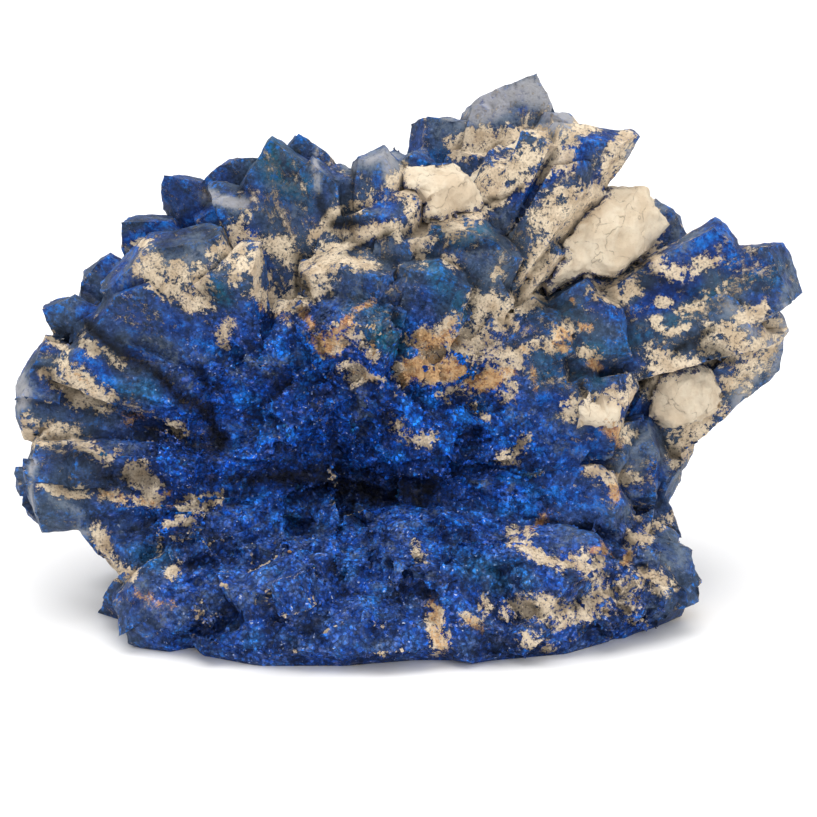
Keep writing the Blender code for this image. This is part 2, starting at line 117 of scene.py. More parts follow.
# Each row is a width, a strength and a path: places across and up, in millimetres.
BRUSHED: dict[StainAndLight, tuple[Row, ...]] = {
    StainAndLight.CLAY: (
        (0.9, 1.0, -15.8, 9.0, -14.9, 7.2, -13.4, 6.3), (0.7, 1.0, -14.2, 9.0, -13.1, 7.6),
        (0.7, 1.0, -11.9, 9.0, -11.0, 9.7, -10.2, 10.4), (0.3, 1.0, -9.4, 10.0, -9.3, 7.9),
        (0.3, 1.0, -16.4, 10.0, -16.3, 9.9), (0.3, 1.0, -16.8, 8.7, -16.7, 8.5),
        (0.4, 1.0, -19.6, 4.1, -18.9, 3.5, -18.1, 3.1), (0.4, 1.0, -21.6, 4.2, -21.3, 3.7),
        (0.7, 1.0, -21.3, 2.4, -20.0, 1.5, -18.5, 0.4),
        (0.6, 1.0, -22.2, 1.6, -20.7, 0.8, -19.0, -0.2), (1.0, 1.0, -23.0, -1.4, -20.9, -1.7),
        (0.6, 1.0, -20.6, -2.0, -19.4, -2.5, -18.4, -2.8),
        (0.6, 1.0, -17.0, -3.9, -15.9, -4.7, -15.7, -5.6),
        (0.2, 1.0, -22.0, -4.9, -19.5, -5.0, -15.9, -5.6), (0.2, 1.0, -14.8, -1.2, -14.0, -1.7),
        (0.6, 1.0, -19.1, -7.8, -18.1, -9.0, -17.0, -10.5), (0.4, 1.0, -15.3, -8.0, -15.1, -8.7),
        (0.3, 1.0, -14.8, -7.2, -13.4, -6.7), (0.2, 1.0, -14.0, -6.0, -11.3, -5.6),
        (0.3, 1.0, -14.6, -10.0, -14.0, -9.8), (0.2, 1.0, -17.8, 2.7, -17.5, 2.5),
        (1.0, 1.0, -3.9, 10.1, -5.5, 9.0, -7.6, 6.3), (0.9, 1.0, -0.3, 14.2, 1.9, 13.7, 3.8, 13.0),
        (0.4, 1.0, -11.4, 5.0, -11.4, 4.1), (0.6, 1.0, -4.8, 3.8, -3.6, 4.3),
        (0.4, 1.0, -3.8, 2.6, -3.0, 2.0, -2.2, 1.9), (0.4, 1.0, -3.8, 1.5, -3.5, 1.3),
        (0.3, 1.0, -2.6, 4.3, -2.1, 3.5),
        (0.5, 1.0, -0.4, 2.5, 1.4, 2.8, 2.9, 2.5, 3.8, 1.9, 5.2, 2.1),
        (0.6, 1.0, -0.6, 2.4, -0.3, 2.1), (0.6, 1.0, 1.2, 4.4, 3.0, 3.9),
        (0.6, 1.0, 4.9, 4.4, 5.1, 3.5, 5.6, 2.7), (0.2, 1.0, 1.9, 1.0, 2.4, 1.1),
        (0.3, 1.0, 3.9, 1.4, 3.8, 0.9), (0.3, 1.0, -0.6, -0.4, -0.4, -1.3, 0.9, -1.8),
        (0.2, 1.0, 4.3, -0.1, 4.6, -0.5), (0.5, 1.0, 5.6, -2.7, 6.6, -2.3, 7.2, -1.9),
        (0.2, 1.0, 6.1, 1.1, 6.3, 1.0), (0.6, 1.0, 0.5, -8.5, 0.8, -9.0),
        (0.4, 1.0, 2.8, 8.8, 3.0, 8.6), (0.3, 1.0, 5.5, 8.3, 5.6, 8.0),
        (0.7, 1.0, 4.6, 6.5, 5.2, 6.1), (0.6, 1.0, 7.8, 9.7, 7.3, 8.1, 6.3, 6.3, 6.0, 4.8),
        (0.6, 1.0, 2.9, 15.9, 4.9, 16.1, 6.9, 17.4),
        (0.8, 1.0, 4.6, 14.2, 6.6, 15.1, 8.8, 15.8, 10.6, 16.9),
        (0.5, 1.0, 11.7, 13.0, 12.1, 14.2, 12.7, 16.1), (0.4, 1.0, 9.3, 13.0, 11.1, 13.5),
        (2.1, 1.0, 9.3, 11.4, 11.7, 11.4, 14.2, 10.9), (0.6, 1.0, 9.3, 9.3, 11.7, 9.0, 14.2, 9.3),
        (0.3, 1.0, 16.2, 8.5, 17.8, 9.0, 19.1, 9.3), (0.6, 1.0, 8.5, 8.1, 7.4, 7.5),
        (0.3, 1.0, 12.2, 7.2, 13.3, 6.9), (0.4, 1.0, 16.1, 5.9, 17.5, 6.5),
        (0.2, 1.0, 14.8, 5.2, 15.4, 4.2, 17.1, 4.8), (1.0, 1.0, 15.7, 2.5, 17.2, 2.4, 17.8, 0.8),
        (0.5, 0.9, 14.2, 1.4, 14.9, 1.0), (0.7, 0.8, 17.8, 0.4, 17.3, -1.1, 16.9, -2.3),
        (0.4, 1.0, 17.8, 3.6, 18.8, 4.2), (1.0, 1.0, 20.3, 3.8, 21.3, 3.5),
        (0.5, 1.0, 19.2, 1.4, 19.8, 1.5), (0.6, 1.0, 21.5, 6.3, 20.4, 5.7),
        (0.4, 1.0, 10.6, 3.5, 11.6, 3.3), (0.6, 1.0, 9.8, -0.2, 10.7, 0.4, 12.1, 0.5, 12.8, 0.8),
        (0.3, 1.0, 8.3, 3.5, 8.8, 3.8), (0.4, 1.0, 12.9, -1.1, 13.4, -1.7),
        (0.3, 1.0, 10.9, -3.9, 11.7, -4.4, 13.5, -4.2), (0.3, 1.0, 6.5, -7.4, 6.7, -7.6),
        (0.4, 1.0, 7.6, -7.4, 7.8, -7.8), (0.4, 1.0, 6.8, -8.3, 8.4, -8.9, 9.4, -9.5, 10.2, -9.3),
        (0.7, 1.0, 10.9, -8.9, 11.2, -10.0), (0.6, 1.0, 13.9, -8.0, 14.8, -7.9),
        (0.5, 1.0, 15.5, -7.2, 16.1, -6.7), (0.4, 1.0, 13.2, -9.3, 13.5, -8.7),
        (0.7, 1.0, 1.7, -12.4, 2.2, -14.2), (0.4, 1.0, 4.5, -11.6, 4.7, -12.0),
        (0.6, 1.0, 6.9, -11.6, 8.8, -12.1, 11.2, -11.8), (0.4, 1.0, 6.7, -12.4, 7.1, -12.7),
        (0.6, 0.8, 12.6, -11.1, 13.5, -12.2), (0.6, 1.0, 14.8, -10.7, 15.6, -11.0),
        (0.5, 0.8, 6.9, -13.9, 8.5, -14.3), (0.3, 1.0, 4.1, -12.9, 3.5, -12.7),
        (1.0, 1.0, -15.8, 9.0, -14.5, 7.2, -12.8, 6.3),
        (0.6, 0.8, -13.4, 8.7, -12.6, 7.4, -12.5, 6.4),
        (0.7, 1.0, -11.9, 9.3, -10.8, 9.9, -10.1, 8.8, -10.6, 8.2),
        (0.7, 0.7, -10.1, 12.0, -10.8, 11.0), (0.9, 0.8, -9.6, 10.2, -8.3, 9.9, -7.4, 9.2),
        (0.9, 0.9, -9.0, 7.1, -7.9, 6.3, -6.8, 6.5),
        (0.9, 1.0, -6.5, 6.8, -5.5, 8.2, -3.9, 9.1, -2.7, 8.7),
        (0.6, 0.9, -4.8, 9.9, -3.6, 10.3, -2.0, 10.6, -1.0, 11.0),
        (0.5, 0.9, -6.0, 10.6, -4.8, 11.2, -4.0, 11.8), (0.5, 0.8, -3.5, 12.0, -2.8, 13.2),
        (1.2, 1.0, 0.4, 13.4, 1.9, 12.4, 3.8, 12.4, 4.7, 13.0),
        (0.9, 0.9, -0.5, 14.1, 0.6, 12.8, 0.7, 10.3), (0.9, 1.0, 4.5, 6.3, 5.9, 6.3, 7.3, 6.3),
        (0.6, 0.9, 6.1, 5.2, 6.8, 4.9), (0.4, 1.0, 5.4, 3.1, 6.5, 3.1, 7.9, 3.6),
        (0.4, 1.0, 3.8, 1.0, 4.3, 1.6, 5.4, 2.1),
        (0.5, 0.9, 0.3, 4.2, 1.3, 3.9, 2.2, 4.9, 2.9, 5.3),
        (0.6, 0.8, 0.9, 3.5, 2.3, 3.5, 3.3, 2.8), (0.6, 0.9, -0.6, 2.2, 0.9, 2.6, 2.4, 2.5),
        (0.6, 0.9, 4.6, 5.4, 4.9, 3.9, 5.1, 2.6), (0.5, 0.8, 9.3, 3.9, 9.6, 4.4, 10.0, 5.0),
        (1.0, 0.9, 8.3, 10.0, 7.6, 8.2, 6.9, 6.3), (0.6, 0.8, 8.0, 7.6, 9.3, 9.0, 10.2, 9.7),
        (0.7, 1.0, 10.2, 12.4, 11.7, 13.0, 13.3, 12.8),
        (0.9, 1.0, 13.4, 12.5, 14.2, 11.2, 15.6, 9.0), (0.4, 0.7, 13.1, 9.7, 14.2, 8.2, 11.7, 7.7),
        (0.9, 1.0, 4.7, 13.0, 5.5, 14.6, 6.8, 15.4, 8.4, 15.8, 9.5, 15.0),
        (0.7, 0.8, 5.6, 13.4, 7.4, 14.0, 8.8, 14.7),
        (0.6, 1.0, 3.0, 16.3, 4.9, 16.8, 6.8, 17.3, 8.4, 16.9),
        (0.7, 0.9, 12.1, 12.8, 12.7, 14.6, 13.2, 16.5), (0.5, 0.8, 11.1, 12.8, 11.7, 13.6),
        (1.1, 0.9, 18.7, 3.6, 20.5, 3.6, 22.1, 4.8),
        (1.2, 1.0, 14.8, 2.8, 17.2, 2.2, 18.4, 0.5, 17.8, -1.1),
        (0.9, 0.8, 19.1, 3.6, 21.0, 3.2, 22.1, 4.8), (0.7, 0.8, 18.8, 1.1, 20.0, 1.5, 20.8, 1.0),
        (0.5, 1.0, 10.9, -3.8, 12.0, -4.5, 13.7, -4.3),
        (0.7, 0.8, 11.7, -11.1, 14.2, -10.5, 15.9, -10.7),
        (0.7, 0.7, 5.6, -12.1, 9.3, -12.7, 11.7, -12.3), (0.6, 0.7, 14.2, -8.3, 15.9, -6.8),
        (0.6, 0.8, 11.6, -9.3, 11.7, -10.2),
        (1.0, 1.0, -0.3, 13.4, 1.3, 12.8, 2.7, 11.9, 2.5, 11.2),
        (0.6, 0.9, -0.8, 14.2, -0.0, 13.0, 0.2, 10.6, 0.5, 9.0),
        (0.6, 1.0, 2.7, 12.3, 4.7, 12.4, 6.0, 13.0), (0.7, 1.0, 11.1, 0.3, 12.4, 0.4, 13.5, 1.0),
        (1.2, 1.0, 15.1, 2.2, 17.2, 1.9, 18.2, 0.6),
        (0.7, 1.0, -0.3, 2.2, 1.3, 2.7, 2.9, 2.4, 4.3, 1.5, 5.4, 2.0),
        (0.6, 1.0, 1.3, 4.2, 2.9, 3.8, 3.8, 4.2),
        (0.9, 1.0, -0.5, 2.0, 1.3, 2.6, 2.7, 2.1, 4.3, 1.3, 5.6, 2.1),
        (0.7, 1.0, 0.9, 3.9, 2.7, 4.3, 4.0, 3.9),
        (0.9, 0.9, 19.1, 4.8, 21.0, 3.8, 21.5, 2.2, 20.0, 1.5),
        (1.1, 1.0, -0.3, 13.6, 0.9, 12.5, 2.4, 11.9),
        (1.1, 1.0, 15.1, 2.5, 17.1, 2.0, 18.0, 0.4, 17.2, -1.3), (0.2, 1.0, 17.6, 7.1, 18.2, 7.4),
        (0.2, 1.0, 19.3, 7.6, 19.9, 7.9), (0.2, 1.0, 15.4, 6.6, 15.9, 6.9),
        (0.2, 1.0, 14.2, 9.7, 15.1, 10.1), (0.2, 1.0, 12.4, 8.6, 13.3, 7.5, 14.2, 7.2),
        (0.6, 0.7, 17.8, -1.2, 17.2, -2.7, 16.4, -3.3), (0.6, 1.0, 0.1, 2.8, 1.9, 3.5, 3.8, 3.0),
        (0.4, 0.9, 4.9, 2.2, 6.2, 2.6),
    ),
    StainAndLight.IRON: (
        (0.2, 1.0, -6.6, 5.9, -4.9, 3.9, -3.6, 5.3), (0.5, 0.6, -4.8, 3.8, -3.5, 4.2),
        (0.6, 1.0, -0.0, 2.7, 1.9, 2.8, 2.7, 2.5, 4.3, 1.7, 5.1, 1.9),
        (0.6, 1.0, 1.1, 4.3, 2.8, 3.8), (0.4, 0.6, -3.3, 1.9, -2.4, 1.7),
        (0.4, 1.0, 9.6, 4.8, 9.9, 4.4), (0.4, 1.0, 9.3, 3.9, 9.5, 3.7),
        (0.4, 1.0, 11.1, 2.7, 11.5, 2.5), (0.3, 1.0, 10.6, 5.5, 10.9, 5.3),
        (0.2, 1.0, 10.0, 7.2, 10.2, 7.0), (0.4, 1.0, 12.3, -1.3, 12.8, -1.6),
        (0.4, 1.0, 12.3, -5.0, 12.7, -5.2), (0.4, 1.0, 7.9, -7.1, 8.3, -6.7),
        (0.3, 1.0, 11.7, -8.5, 12.1, -8.8), (0.4, 1.0, 13.2, -9.3, 13.5, -8.8),
        (0.7, 0.7, 1.6, -12.1, 2.3, -14.3), (0.3, 0.6, -17.6, -0.9, -16.1, -0.7),
        (0.2, 0.7, -15.3, -5.6, -14.2, -5.5), (0.7, 0.6, -16.4, -11.7, -14.6, -11.8),
        (0.4, 0.5, 19.4, 1.4, 19.8, 1.6), (0.5, 0.6, 3.8, -12.8, 4.6, -13.4),
        (0.2, 0.6, -8.6, 5.9, -7.6, 5.7), (0.2, 0.7, -4.2, 4.3, -3.3, 5.5, -2.1, 6.5),
        (0.3, 0.8, -6.6, 6.3, -5.5, 3.8, -4.4, 3.5), (0.5, 0.6, -5.4, 4.4, -3.6, 4.6),
        (0.4, 0.6, 0.3, 3.8, 2.2, 3.5, 2.5, 4.8), (0.4, 0.8, 3.8, 1.0, 4.4, 1.9, 5.4, 2.1),
        (0.2, 0.8, 5.8, 2.4, 6.1, 2.1), (0.2, 0.7, 7.4, 2.4, 7.7, 1.4),
        (0.5, 0.8, 12.1, -1.2, 12.9, -1.9), (0.4, 0.6, 9.3, 3.9, 10.1, 4.8),
        (0.2, 0.6, 6.6, 3.5, 7.3, 3.3),
        (0.6, 1.0, -0.3, 1.9, 1.4, 2.6, 3.0, 2.1, 4.3, 1.3, 5.2, 1.6),
        (0.6, 0.8, 1.1, 3.8, 2.7, 4.6),
        (0.5, 0.8, -0.4, 1.7, 1.6, 2.4, 3.0, 1.9, 4.4, 1.1, 5.5, 1.7),
        (0.5, 0.6, 0.9, 3.6, 2.7, 3.9), (0.2, 0.5, -21.3, 2.2, -19.8, 1.4, -18.6, 0.5),
        (0.4, 0.4, -22.5, -1.7, -20.7, -1.9), (0.2, 0.7, -19.6, -4.9, -15.8, -5.6),
    ),
    # Painted shade: dark daubs in the slit and in the gaps between the blades.
    StainAndLight.GLOOM: (
        (0.8, 1.0, -9.7, -4.7, -6.0, -4.0, -3.6, -5.0, -3.5, -6.3),
        (0.8, 1.0, -3.6, -4.6, -0.5, -5.0, 1.3, -4.6),
        (0.6, 1.0, -19.2, 5.1, -17.0, 2.8, -14.6, 1.0, -12.4, -0.5, -11.4, -2.3),
        (0.6, 0.8, -14.0, -2.0, -11.8, -2.5), (0.4, 1.0, -18.9, -4.0, -17.2, -4.3),
        (0.3, 0.6, -21.3, -2.5, -18.9, -3.1), (0.5, 1.0, -4.2, 11.4, -3.5, 10.9),
        (0.4, 0.8, -5.2, 12.4, -4.8, 12.1), (1.3, 0.7, 8.0, 6.6, 9.8, 6.6),
        (0.6, 0.8, 17.3, 3.8, 19.4, 3.1), (0.4, 1.0, 10.5, 1.0, 10.7, 0.6),
        (0.6, 0.6, 10.6, 2.2, 11.5, 2.1), (0.2, 1.0, -5.7, 4.8, -5.2, 3.5),
        (0.6, 0.6, 1.9, 10.3, 4.4, 9.9, 6.8, 10.9), (0.7, 0.6, 14.2, 8.0, 15.1, 7.4),
        (0.1, 1.0, 4.4, 12.6, 5.9, 13.0, 6.8, 13.4), (0.1, 0.8, 12.9, 9.2, 14.8, 9.0),
        (0.2, 1.0, 15.9, 3.3, 16.7, 3.6), (0.5, 0.6, 2.5, -14.8, 9.3, -14.9),
        (0.5, 0.5, 1.9, -10.1, 3.8, -11.1), (0.5, 0.6, 7.4, -5.0, 8.5, -6.1),
        (0.6, 0.6, -9.7, 2.4, -7.2, 1.7, -5.5, 1.0), (0.4, 0.7, 9.9, -10.0, 10.5, -10.2),
        (0.6, 0.6, 4.4, -13.5, 5.6, -14.2), (0.5, 0.5, -13.4, -8.7, -12.8, -9.3),
        (0.5, 0.5, -13.4, -11.7, -11.5, -12.0), (0.3, 0.9, -6.9, 9.0, -6.5, 7.5),
        (0.2, 0.8, -3.5, 9.6, -1.5, 10.4), (0.5, 0.5, -15.2, 10.1, -13.4, 10.8, -11.8, 10.4),
        (0.6, 0.6, -12.4, 7.1, -11.3, 6.6), (0.6, 0.5, 9.3, 2.6, 10.9, 2.2, 11.6, 3.0),
        (0.5, 0.6, -0.8, 4.8, -0.5, 3.6), (0.2, 0.8, 14.2, 8.6, 17.2, 7.6),
        (0.1, 0.8, 10.2, 9.6, 11.7, 9.2, 13.1, 9.8), (0.2, 0.8, 14.2, 1.6, 14.9, 1.0, 15.6, 0.8),
        (0.4, 0.8, 17.2, 3.9, 19.7, 2.8), (0.7, 0.5, 1.9, 11.4, 3.8, 10.3, 5.9, 10.3),
        (0.3, 0.6, 12.9, -8.0, 11.7, -9.3), (0.5, 0.5, 15.7, -1.9, 16.6, -3.8),
        (0.9, 1.0, -10.6, -4.5, -6.6, -4.3, -3.5, -5.1, 0.7, -5.1),
        (0.6, 0.9, -6.6, -3.8, -1.7, -3.9, 0.1, -4.4),
        (1.3, 0.45, -9.0, 15.8, -7.6, 14.2, -7.1, 13.0), (1.0, 0.35, -14.9, 13.7, -12.8, 12.4),
        (1.0, 0.35, -11.8, 14.9, -10.3, 13.7), (0.7, 0.3, -17.0, 11.5, -15.2, 10.8),
        (0.5, 0.35, 1.3, 14.9, 2.2, 15.8), (1.2, 0.2, -2.7, 0.5, -3.5, -1.9),
        (0.4, 0.6, 12.0, 8.0, 13.1, 8.6, 14.2, 9.0), (0.2, 0.9, 17.2, 3.8, 17.8, 4.2, 18.8, 4.8),
        (0.5, 0.7, -22.8, 2.1, -21.3, 0.8, -19.1, -0.9),
        (0.6, 0.7, -21.6, -2.9, -18.3, -3.6, -16.1, -4.3),
        (0.7, 0.5, -18.3, 0.3, -15.8, -1.4, -12.1, -3.0), (0.3, 0.6, -21.4, -4.6, -16.4, -4.9),
        (0.4, 0.6, -21.1, 4.8, -19.1, 3.8, -17.6, 2.1),
        (0.6, 0.35, -15.8, 4.5, -13.4, 2.2, -11.8, 0.6),
    ),
    StainAndLight.BRIGHT: (
        (0.6, 1.0, 17.2, 9.9, 19.1, 10.8, 21.5, 11.0, 23.5, 10.4), (0.7, 1.0, 19.9, 9.7, 21.3, 9.0),
        (0.7, 1.0, 6.8, 13.0, 8.4, 14.1, 10.0, 15.2, 10.9, 16.1, 12.1, 17.0),
        (0.6, 1.0, 14.2, 5.8, 15.4, 6.5, 16.4, 7.6), (0.6, 0.8, 15.1, 8.7, 17.8, 8.3, 17.2, 8.0),
        (0.7, 0.7, 11.7, 6.5, 12.9, 5.9), (0.6, 1.0, 8.3, 0.8, 9.4, 0.3),
        (1.0, 0.9, -11.8, 3.9, -9.1, 3.5, -6.6, 3.9, -4.8, 2.7),
        (1.3, 0.8, -10.3, 0.5, -6.6, -1.3, -10.3, -1.9), (1.5, 0.7, 0.1, 0.5, 4.4, -0.1, 8.0, -0.7),
        (1.6, 0.8, 1.9, -1.9, 6.8, -3.8, 11.7, -2.5), (0.7, 1.0, -1.7, -2.5, -0.5, -3.1),
        (1.6, 0.7, 3.8, -6.2, 8.0, -5.6, 11.1, -5.6),
        (1.5, 0.7, -10.3, -5.6, -6.6, -6.8, -3.6, -8.0, -1.7, -9.3),
        (1.5, 0.8, 0.7, -6.8, 3.1, -9.3), (0.6, 0.9, 0.7, 15.2, 1.7, 15.4),
        (0.4, 1.0, -1.5, 13.2, -2.6, 12.3), (0.5, 1.0, -19.4, 6.1, -19.1, 5.8),
        (0.6, 0.9, -19.8, 3.3, -18.9, 2.2, -18.4, 1.0), (0.4, 0.8, -23.5, 3.5, -21.9, 3.6),
        (0.7, 0.7, -17.6, -5.6, -15.8, -6.3), (0.9, 0.6, -14.0, 4.2, -12.8, 3.6),
        (0.4, 0.8, -17.0, 3.0, -15.8, 2.6), (0.6, 0.8, -17.6, -11.5, -15.8, -12.0),
        (0.6, 0.7, 12.9, -8.0, 11.7, -8.3),
        (0.5, 1.0, -18.4, 8.8, -17.6, 9.7, -15.8, 11.0, -13.4, 11.8, -11.9, 11.5),
        (0.7, 0.8, -18.1, 8.0, -17.0, 7.5, -16.1, 8.8), (0.5, 1.0, -9.8, 10.6, -9.6, 10.3),
        (0.7, 1.0, -9.3, 5.8, -8.3, 5.0), (0.9, 0.8, 9.3, -1.3, 11.1, -2.5, 12.9, 0.5, 15.4, -0.7),
        (0.4, 1.0, 17.8, 11.4, 20.3, 12.0, 22.7, 11.5, 23.7, 10.8),
        (0.5, 1.0, 11.1, 17.4, 12.8, 17.8, 13.7, 16.4), (0.5, 0.8, 1.9, 15.8, 0.7, 15.3, 1.7, 14.7),
        (0.5, 0.7, -1.7, 14.0, -1.1, 12.8, -2.0, 11.4), (0.4, 1.0, 13.9, 5.9, 15.4, 6.8, 17.2, 7.5),
        (0.9, 0.6, 11.7, -5.0, 14.2, -5.6, 15.4, -3.8), (0.4, 0.7, -19.8, 9.7, -21.3, 9.0),
        (0.4, 0.6, -15.8, 14.0, -15.2, 14.1), (1.2, 0.8, 2.8, 0.2, 5.6, -1.3, 9.3, -1.9),
        (0.5, 1.0, 14.5, 6.6, 15.9, 7.5, 17.2, 9.0), (0.9, 1.0, 18.6, 9.9, 20.3, 9.2, 19.7, 10.6),
        (1.3, 0.8, 3.8, 0.5, 6.8, -1.0, 9.9, -3.8),
    ),
    # Painted sheen: pale daubs on the faces that catch the light.
    StainAndLight.FILM: (
        (1.8, 0.7, -17.0, 8.5, -12.8, 9.7), (0.6, 1.0, -24.3, 2.6, -23.5, 0.0),
        (0.3, 1.0, -22.8, -3.1, -22.9, -6.2), (1.6, 0.8, -3.6, 15.2, -1.1, 15.8, -0.5, 14.3),
        (1.3, 0.55, -3.3, 0.8, -3.0, -1.3), (1.5, 0.5, -3.0, 5.1, -1.1, 4.8),
        (1.5, 0.5, -6.0, 7.6, -3.3, 6.6), (2.1, 0.8, 2.5, 18.0, 5.6, 18.9, 8.7, 19.5),
        (1.3, 1.0, 9.3, 18.3, 10.2, 17.0), (0.6, 1.0, 8.0, 17.3, 9.3, 17.5),
        (1.8, 0.6, 15.4, 12.4, 17.2, 10.6), (0.6, 1.0, 14.2, 12.8, 13.5, 15.8),
        (0.6, 0.5, 23.6, 9.7, 23.1, 6.6), (0.9, 0.9, 23.0, 6.0, 21.5, 1.7, 19.7, -0.1),
        (1.0, 0.8, 17.2, -3.8, 16.4, -5.6), (0.7, 0.7, 13.5, -3.1, 14.8, -1.9, 15.4, -1.0),
        (0.9, 0.6, 14.2, -5.6, 12.9, -7.4), (1.1, 0.6, 16.6, -8.0, 17.2, -9.3, 14.8, -9.3),
        (1.6, 0.4, -9.1, 15.8, -7.2, 12.8), (0.3, 1.0, -5.5, 15.8, -5.3, 12.8),
        (0.6, 1.0, -12.8, 12.8, -9.7, 12.8), (0.7, 0.6, 3.8, 4.2, 4.4, 3.5),
        (0.6, 0.6, -9.1, 3.0, -7.2, 3.6), (0.7, 0.6, -12.8, 3.0, -10.3, 1.7),
        (1.0, 0.35, -3.0, -6.2, -0.5, -6.8, 1.9, -6.2), (1.6, 0.3, -4.2, -8.3, -0.5, -9.3),
        (1.6, 0.35, -12.8, -11.1, -9.1, -11.7), (0.6, 0.7, -21.3, -5.6, -20.1, -6.5),
        (0.5, 0.8, -20.7, -7.1, -18.9, -8.0), (0.3, 0.6, 3.1, 9.7, 5.6, 9.4),
        (1.5, 0.3, -3.6, -12.0, -1.7, -12.9),
        (2.1, 1.0, 3.8, 17.8, 5.6, 19.2, 8.3, 19.2, 9.9, 17.3), (1.0, 1.0, 5.6, 20.4, 7.7, 20.6),
        (1.0, 0.5, -15.8, 4.2, -14.3, 2.7, -13.4, 1.4), (0.6, 0.7, -9.7, 3.3, -8.6, 2.2),
        (1.1, 0.4, 6.5, -0.1, 9.3, -1.0, 11.2, -0.8), (0.7, 0.4, 8.3, -1.9, 10.5, -2.8),
        (0.7, 0.7, 12.2, -3.5, 14.2, -3.8), (1.0, 0.6, 14.2, -1.9, 16.0, -3.8),
        (1.6, 0.8, 19.7, 6.6, 22.1, 3.6, 23.3, -0.7, 20.3, 0.5),
        (1.2, 0.9, -2.6, 15.2, -1.5, 15.8, -1.0, 14.2),
        (0.6, 1.0, -12.4, 12.8, -11.4, 12.4, -10.4, 12.9), (0.9, 0.4, -7.9, 12.1, -6.6, 13.4),
        (1.1, 0.45, -1.7, 9.7, -1.0, 6.6), (1.6, 0.5, 2.5, 11.2, 6.2, 10.9, 5.6, 7.9),
        (1.6, 0.4, -17.6, -10.8, -14.6, -12.4, -10.9, -12.9),
        (1.3, 0.4, 6.8, -11.7, 11.7, -11.1, 15.4, -11.7),
    ),
    StainAndLight.DUST: (
        (1.3, 1.0, -18.3, 0.2, -14.9, -1.3, -12.8, -1.9),
        (0.9, 0.8, -19.5, 4.2, -16.4, 2.4, -12.8, -0.1),
        (1.8, 0.8, -15.8, 8.5, -12.1, 7.9, -9.7, 9.1), (1.6, 1.0, -8.5, 13.4, -5.5, 10.9),
        (1.5, 1.0, -5.1, 15.2, -0.5, 12.8, 2.5, 13.7), (1.6, 1.0, 8.0, 11.8, 9.9, 10.9, 11.7, 14.0),
        (1.7, 1.0, 19.1, 9.7, 22.1, 7.9, 17.8, 6.6, 14.8, 3.6), (1.2, 0.9, 12.9, 3.0, 15.4, 3.6),
        (1.3, 0.9, 11.1, -1.9, 12.9, -2.5), (1.5, 0.8, 5.6, 4.2, 9.3, 3.6),
        (0.7, 0.8, -5.4, 0.5, -4.8, -1.3), (0.6, 0.8, -1.7, 1.1, -0.5, -1.9),
        (1.8, 0.9, 17.8, 5.4, 21.5, 3.0, 17.8, -1.9),
        (1.8, 0.6, 14.2, -11.7, 9.3, -12.9, 4.4, -11.7), (1.1, 0.5, -14.0, -3.8, -11.5, -5.6),
        (1.8, 0.6, 3.1, 15.8, 6.8, 17.0, 9.3, 18.9), (1.2, 0.3, -10.3, -0.7, -7.2, -2.5),
        (2.1, 1.0, -9.0, 13.4, -6.6, 10.9, -7.6, 7.9),
        (1.6, 1.0, 5.9, 4.5, 9.3, 4.8, 9.3, 1.7, 6.8, 2.2),
        (1.8, 1.0, 9.3, 14.0, 11.7, 15.2, 12.9, 12.8, 9.9, 11.8),
        (2.4, 0.7, -17.6, 9.7, -14.0, 4.8, -10.3, 7.9),
        (2.2, 0.8, -4.8, 10.9, -0.5, 9.1, -1.7, 4.8), (2.1, 0.8, 3.1, 19.5, 8.0, 17.6, 5.6, 15.8),
        (1.8, 0.7, 11.7, 6.6, 16.6, 5.4, 11.7, 3.6), (2.1, 1.0, 20.3, 10.3, 22.7, 6.6, 20.9, 1.7),
        (1.6, 0.8, 11.7, -2.5, 14.2, -4.4, 11.7, -5.6),
        (1.6, 0.8, -22.5, 3.6, -20.1, 0.5, -21.3, -1.3), (1.8, 0.8, 0.7, 4.2, 4.4, 1.7, 1.9, 3.0),
        (2.4, 0.6, 9.3, -9.3, 12.9, -11.7, 6.8, -12.3), (1.8, 0.8, 2.2, 11.2, 6.5, 10.9, 5.6, 7.6),
        (1.6, 1.0, -9.0, 15.8, -6.0, 12.8, -7.9, 10.9),
        (1.8, 0.7, -15.2, 14.0, -10.3, 12.8, -11.5, 11.5),
        (1.5, 0.8, 11.7, -1.9, 14.8, -3.8, 14.2, -6.8), (2.1, 0.8, 1.3, 10.9, 6.8, 9.1, 4.4, 4.8),
        (0.9, 0.4, -18.3, 0.3, -15.2, -1.4, -12.1, -3.0),
        (0.6, 0.3, -21.9, -3.1, -18.9, -3.8, -15.8, -4.7),
    ),
    StainAndLight.TEAL: (
        (1.1, 1.0, 1.9, 10.9, 4.4, 10.8), (1.1, 1.0, -1.7, 4.8, -0.5, 3.9),
        (0.9, 0.5, -18.3, 1.1, -15.8, 0.8), (0.7, 1.0, -12.1, 7.2, -11.2, 6.6),
        (1.0, 0.7, 20.3, 9.1, 22.1, 8.5, 17.8, 7.6), (1.1, 0.7, 9.3, 3.6, 11.7, 3.6),
        (1.5, 0.6, 7.4, 6.6, 9.9, 6.0), (0.5, 0.7, 11.7, 1.7, 9.3, 1.7),
        (1.1, 0.5, 3.8, -9.9, 6.8, -10.2), (1.0, 0.5, -16.4, -9.3, -14.6, -9.3),
        (1.3, 0.6, 1.3, 8.8, 3.8, 5.4), (1.5, 0.5, 8.0, 6.6, 10.2, 4.8, 8.3, 2.4),
        (1.1, 0.7, -3.0, 6.0, -0.8, 5.4, -0.5, 3.9), (1.6, 1.0, -9.0, 15.8, -6.6, 13.4),
        (0.7, 0.8, 0.7, 14.6, 1.9, 15.8), (1.1, 0.5, 17.8, 6.6, 15.4, 4.8, 12.9, 3.6),
    ),
}
FRONT_DAUBS = tuple(Daub.read(stain, row) for stain, rows in BRUSHED.items() for row in rows)


@dataclass(frozen=True)
class Drift:
    """How one stain, or the painted shade or painted sheen, drifts over the sides that no daub
    reaches.
    """

    gain: float
    wide: float
    fine: float
    low: float
    high: float
    upward: float = 0.0


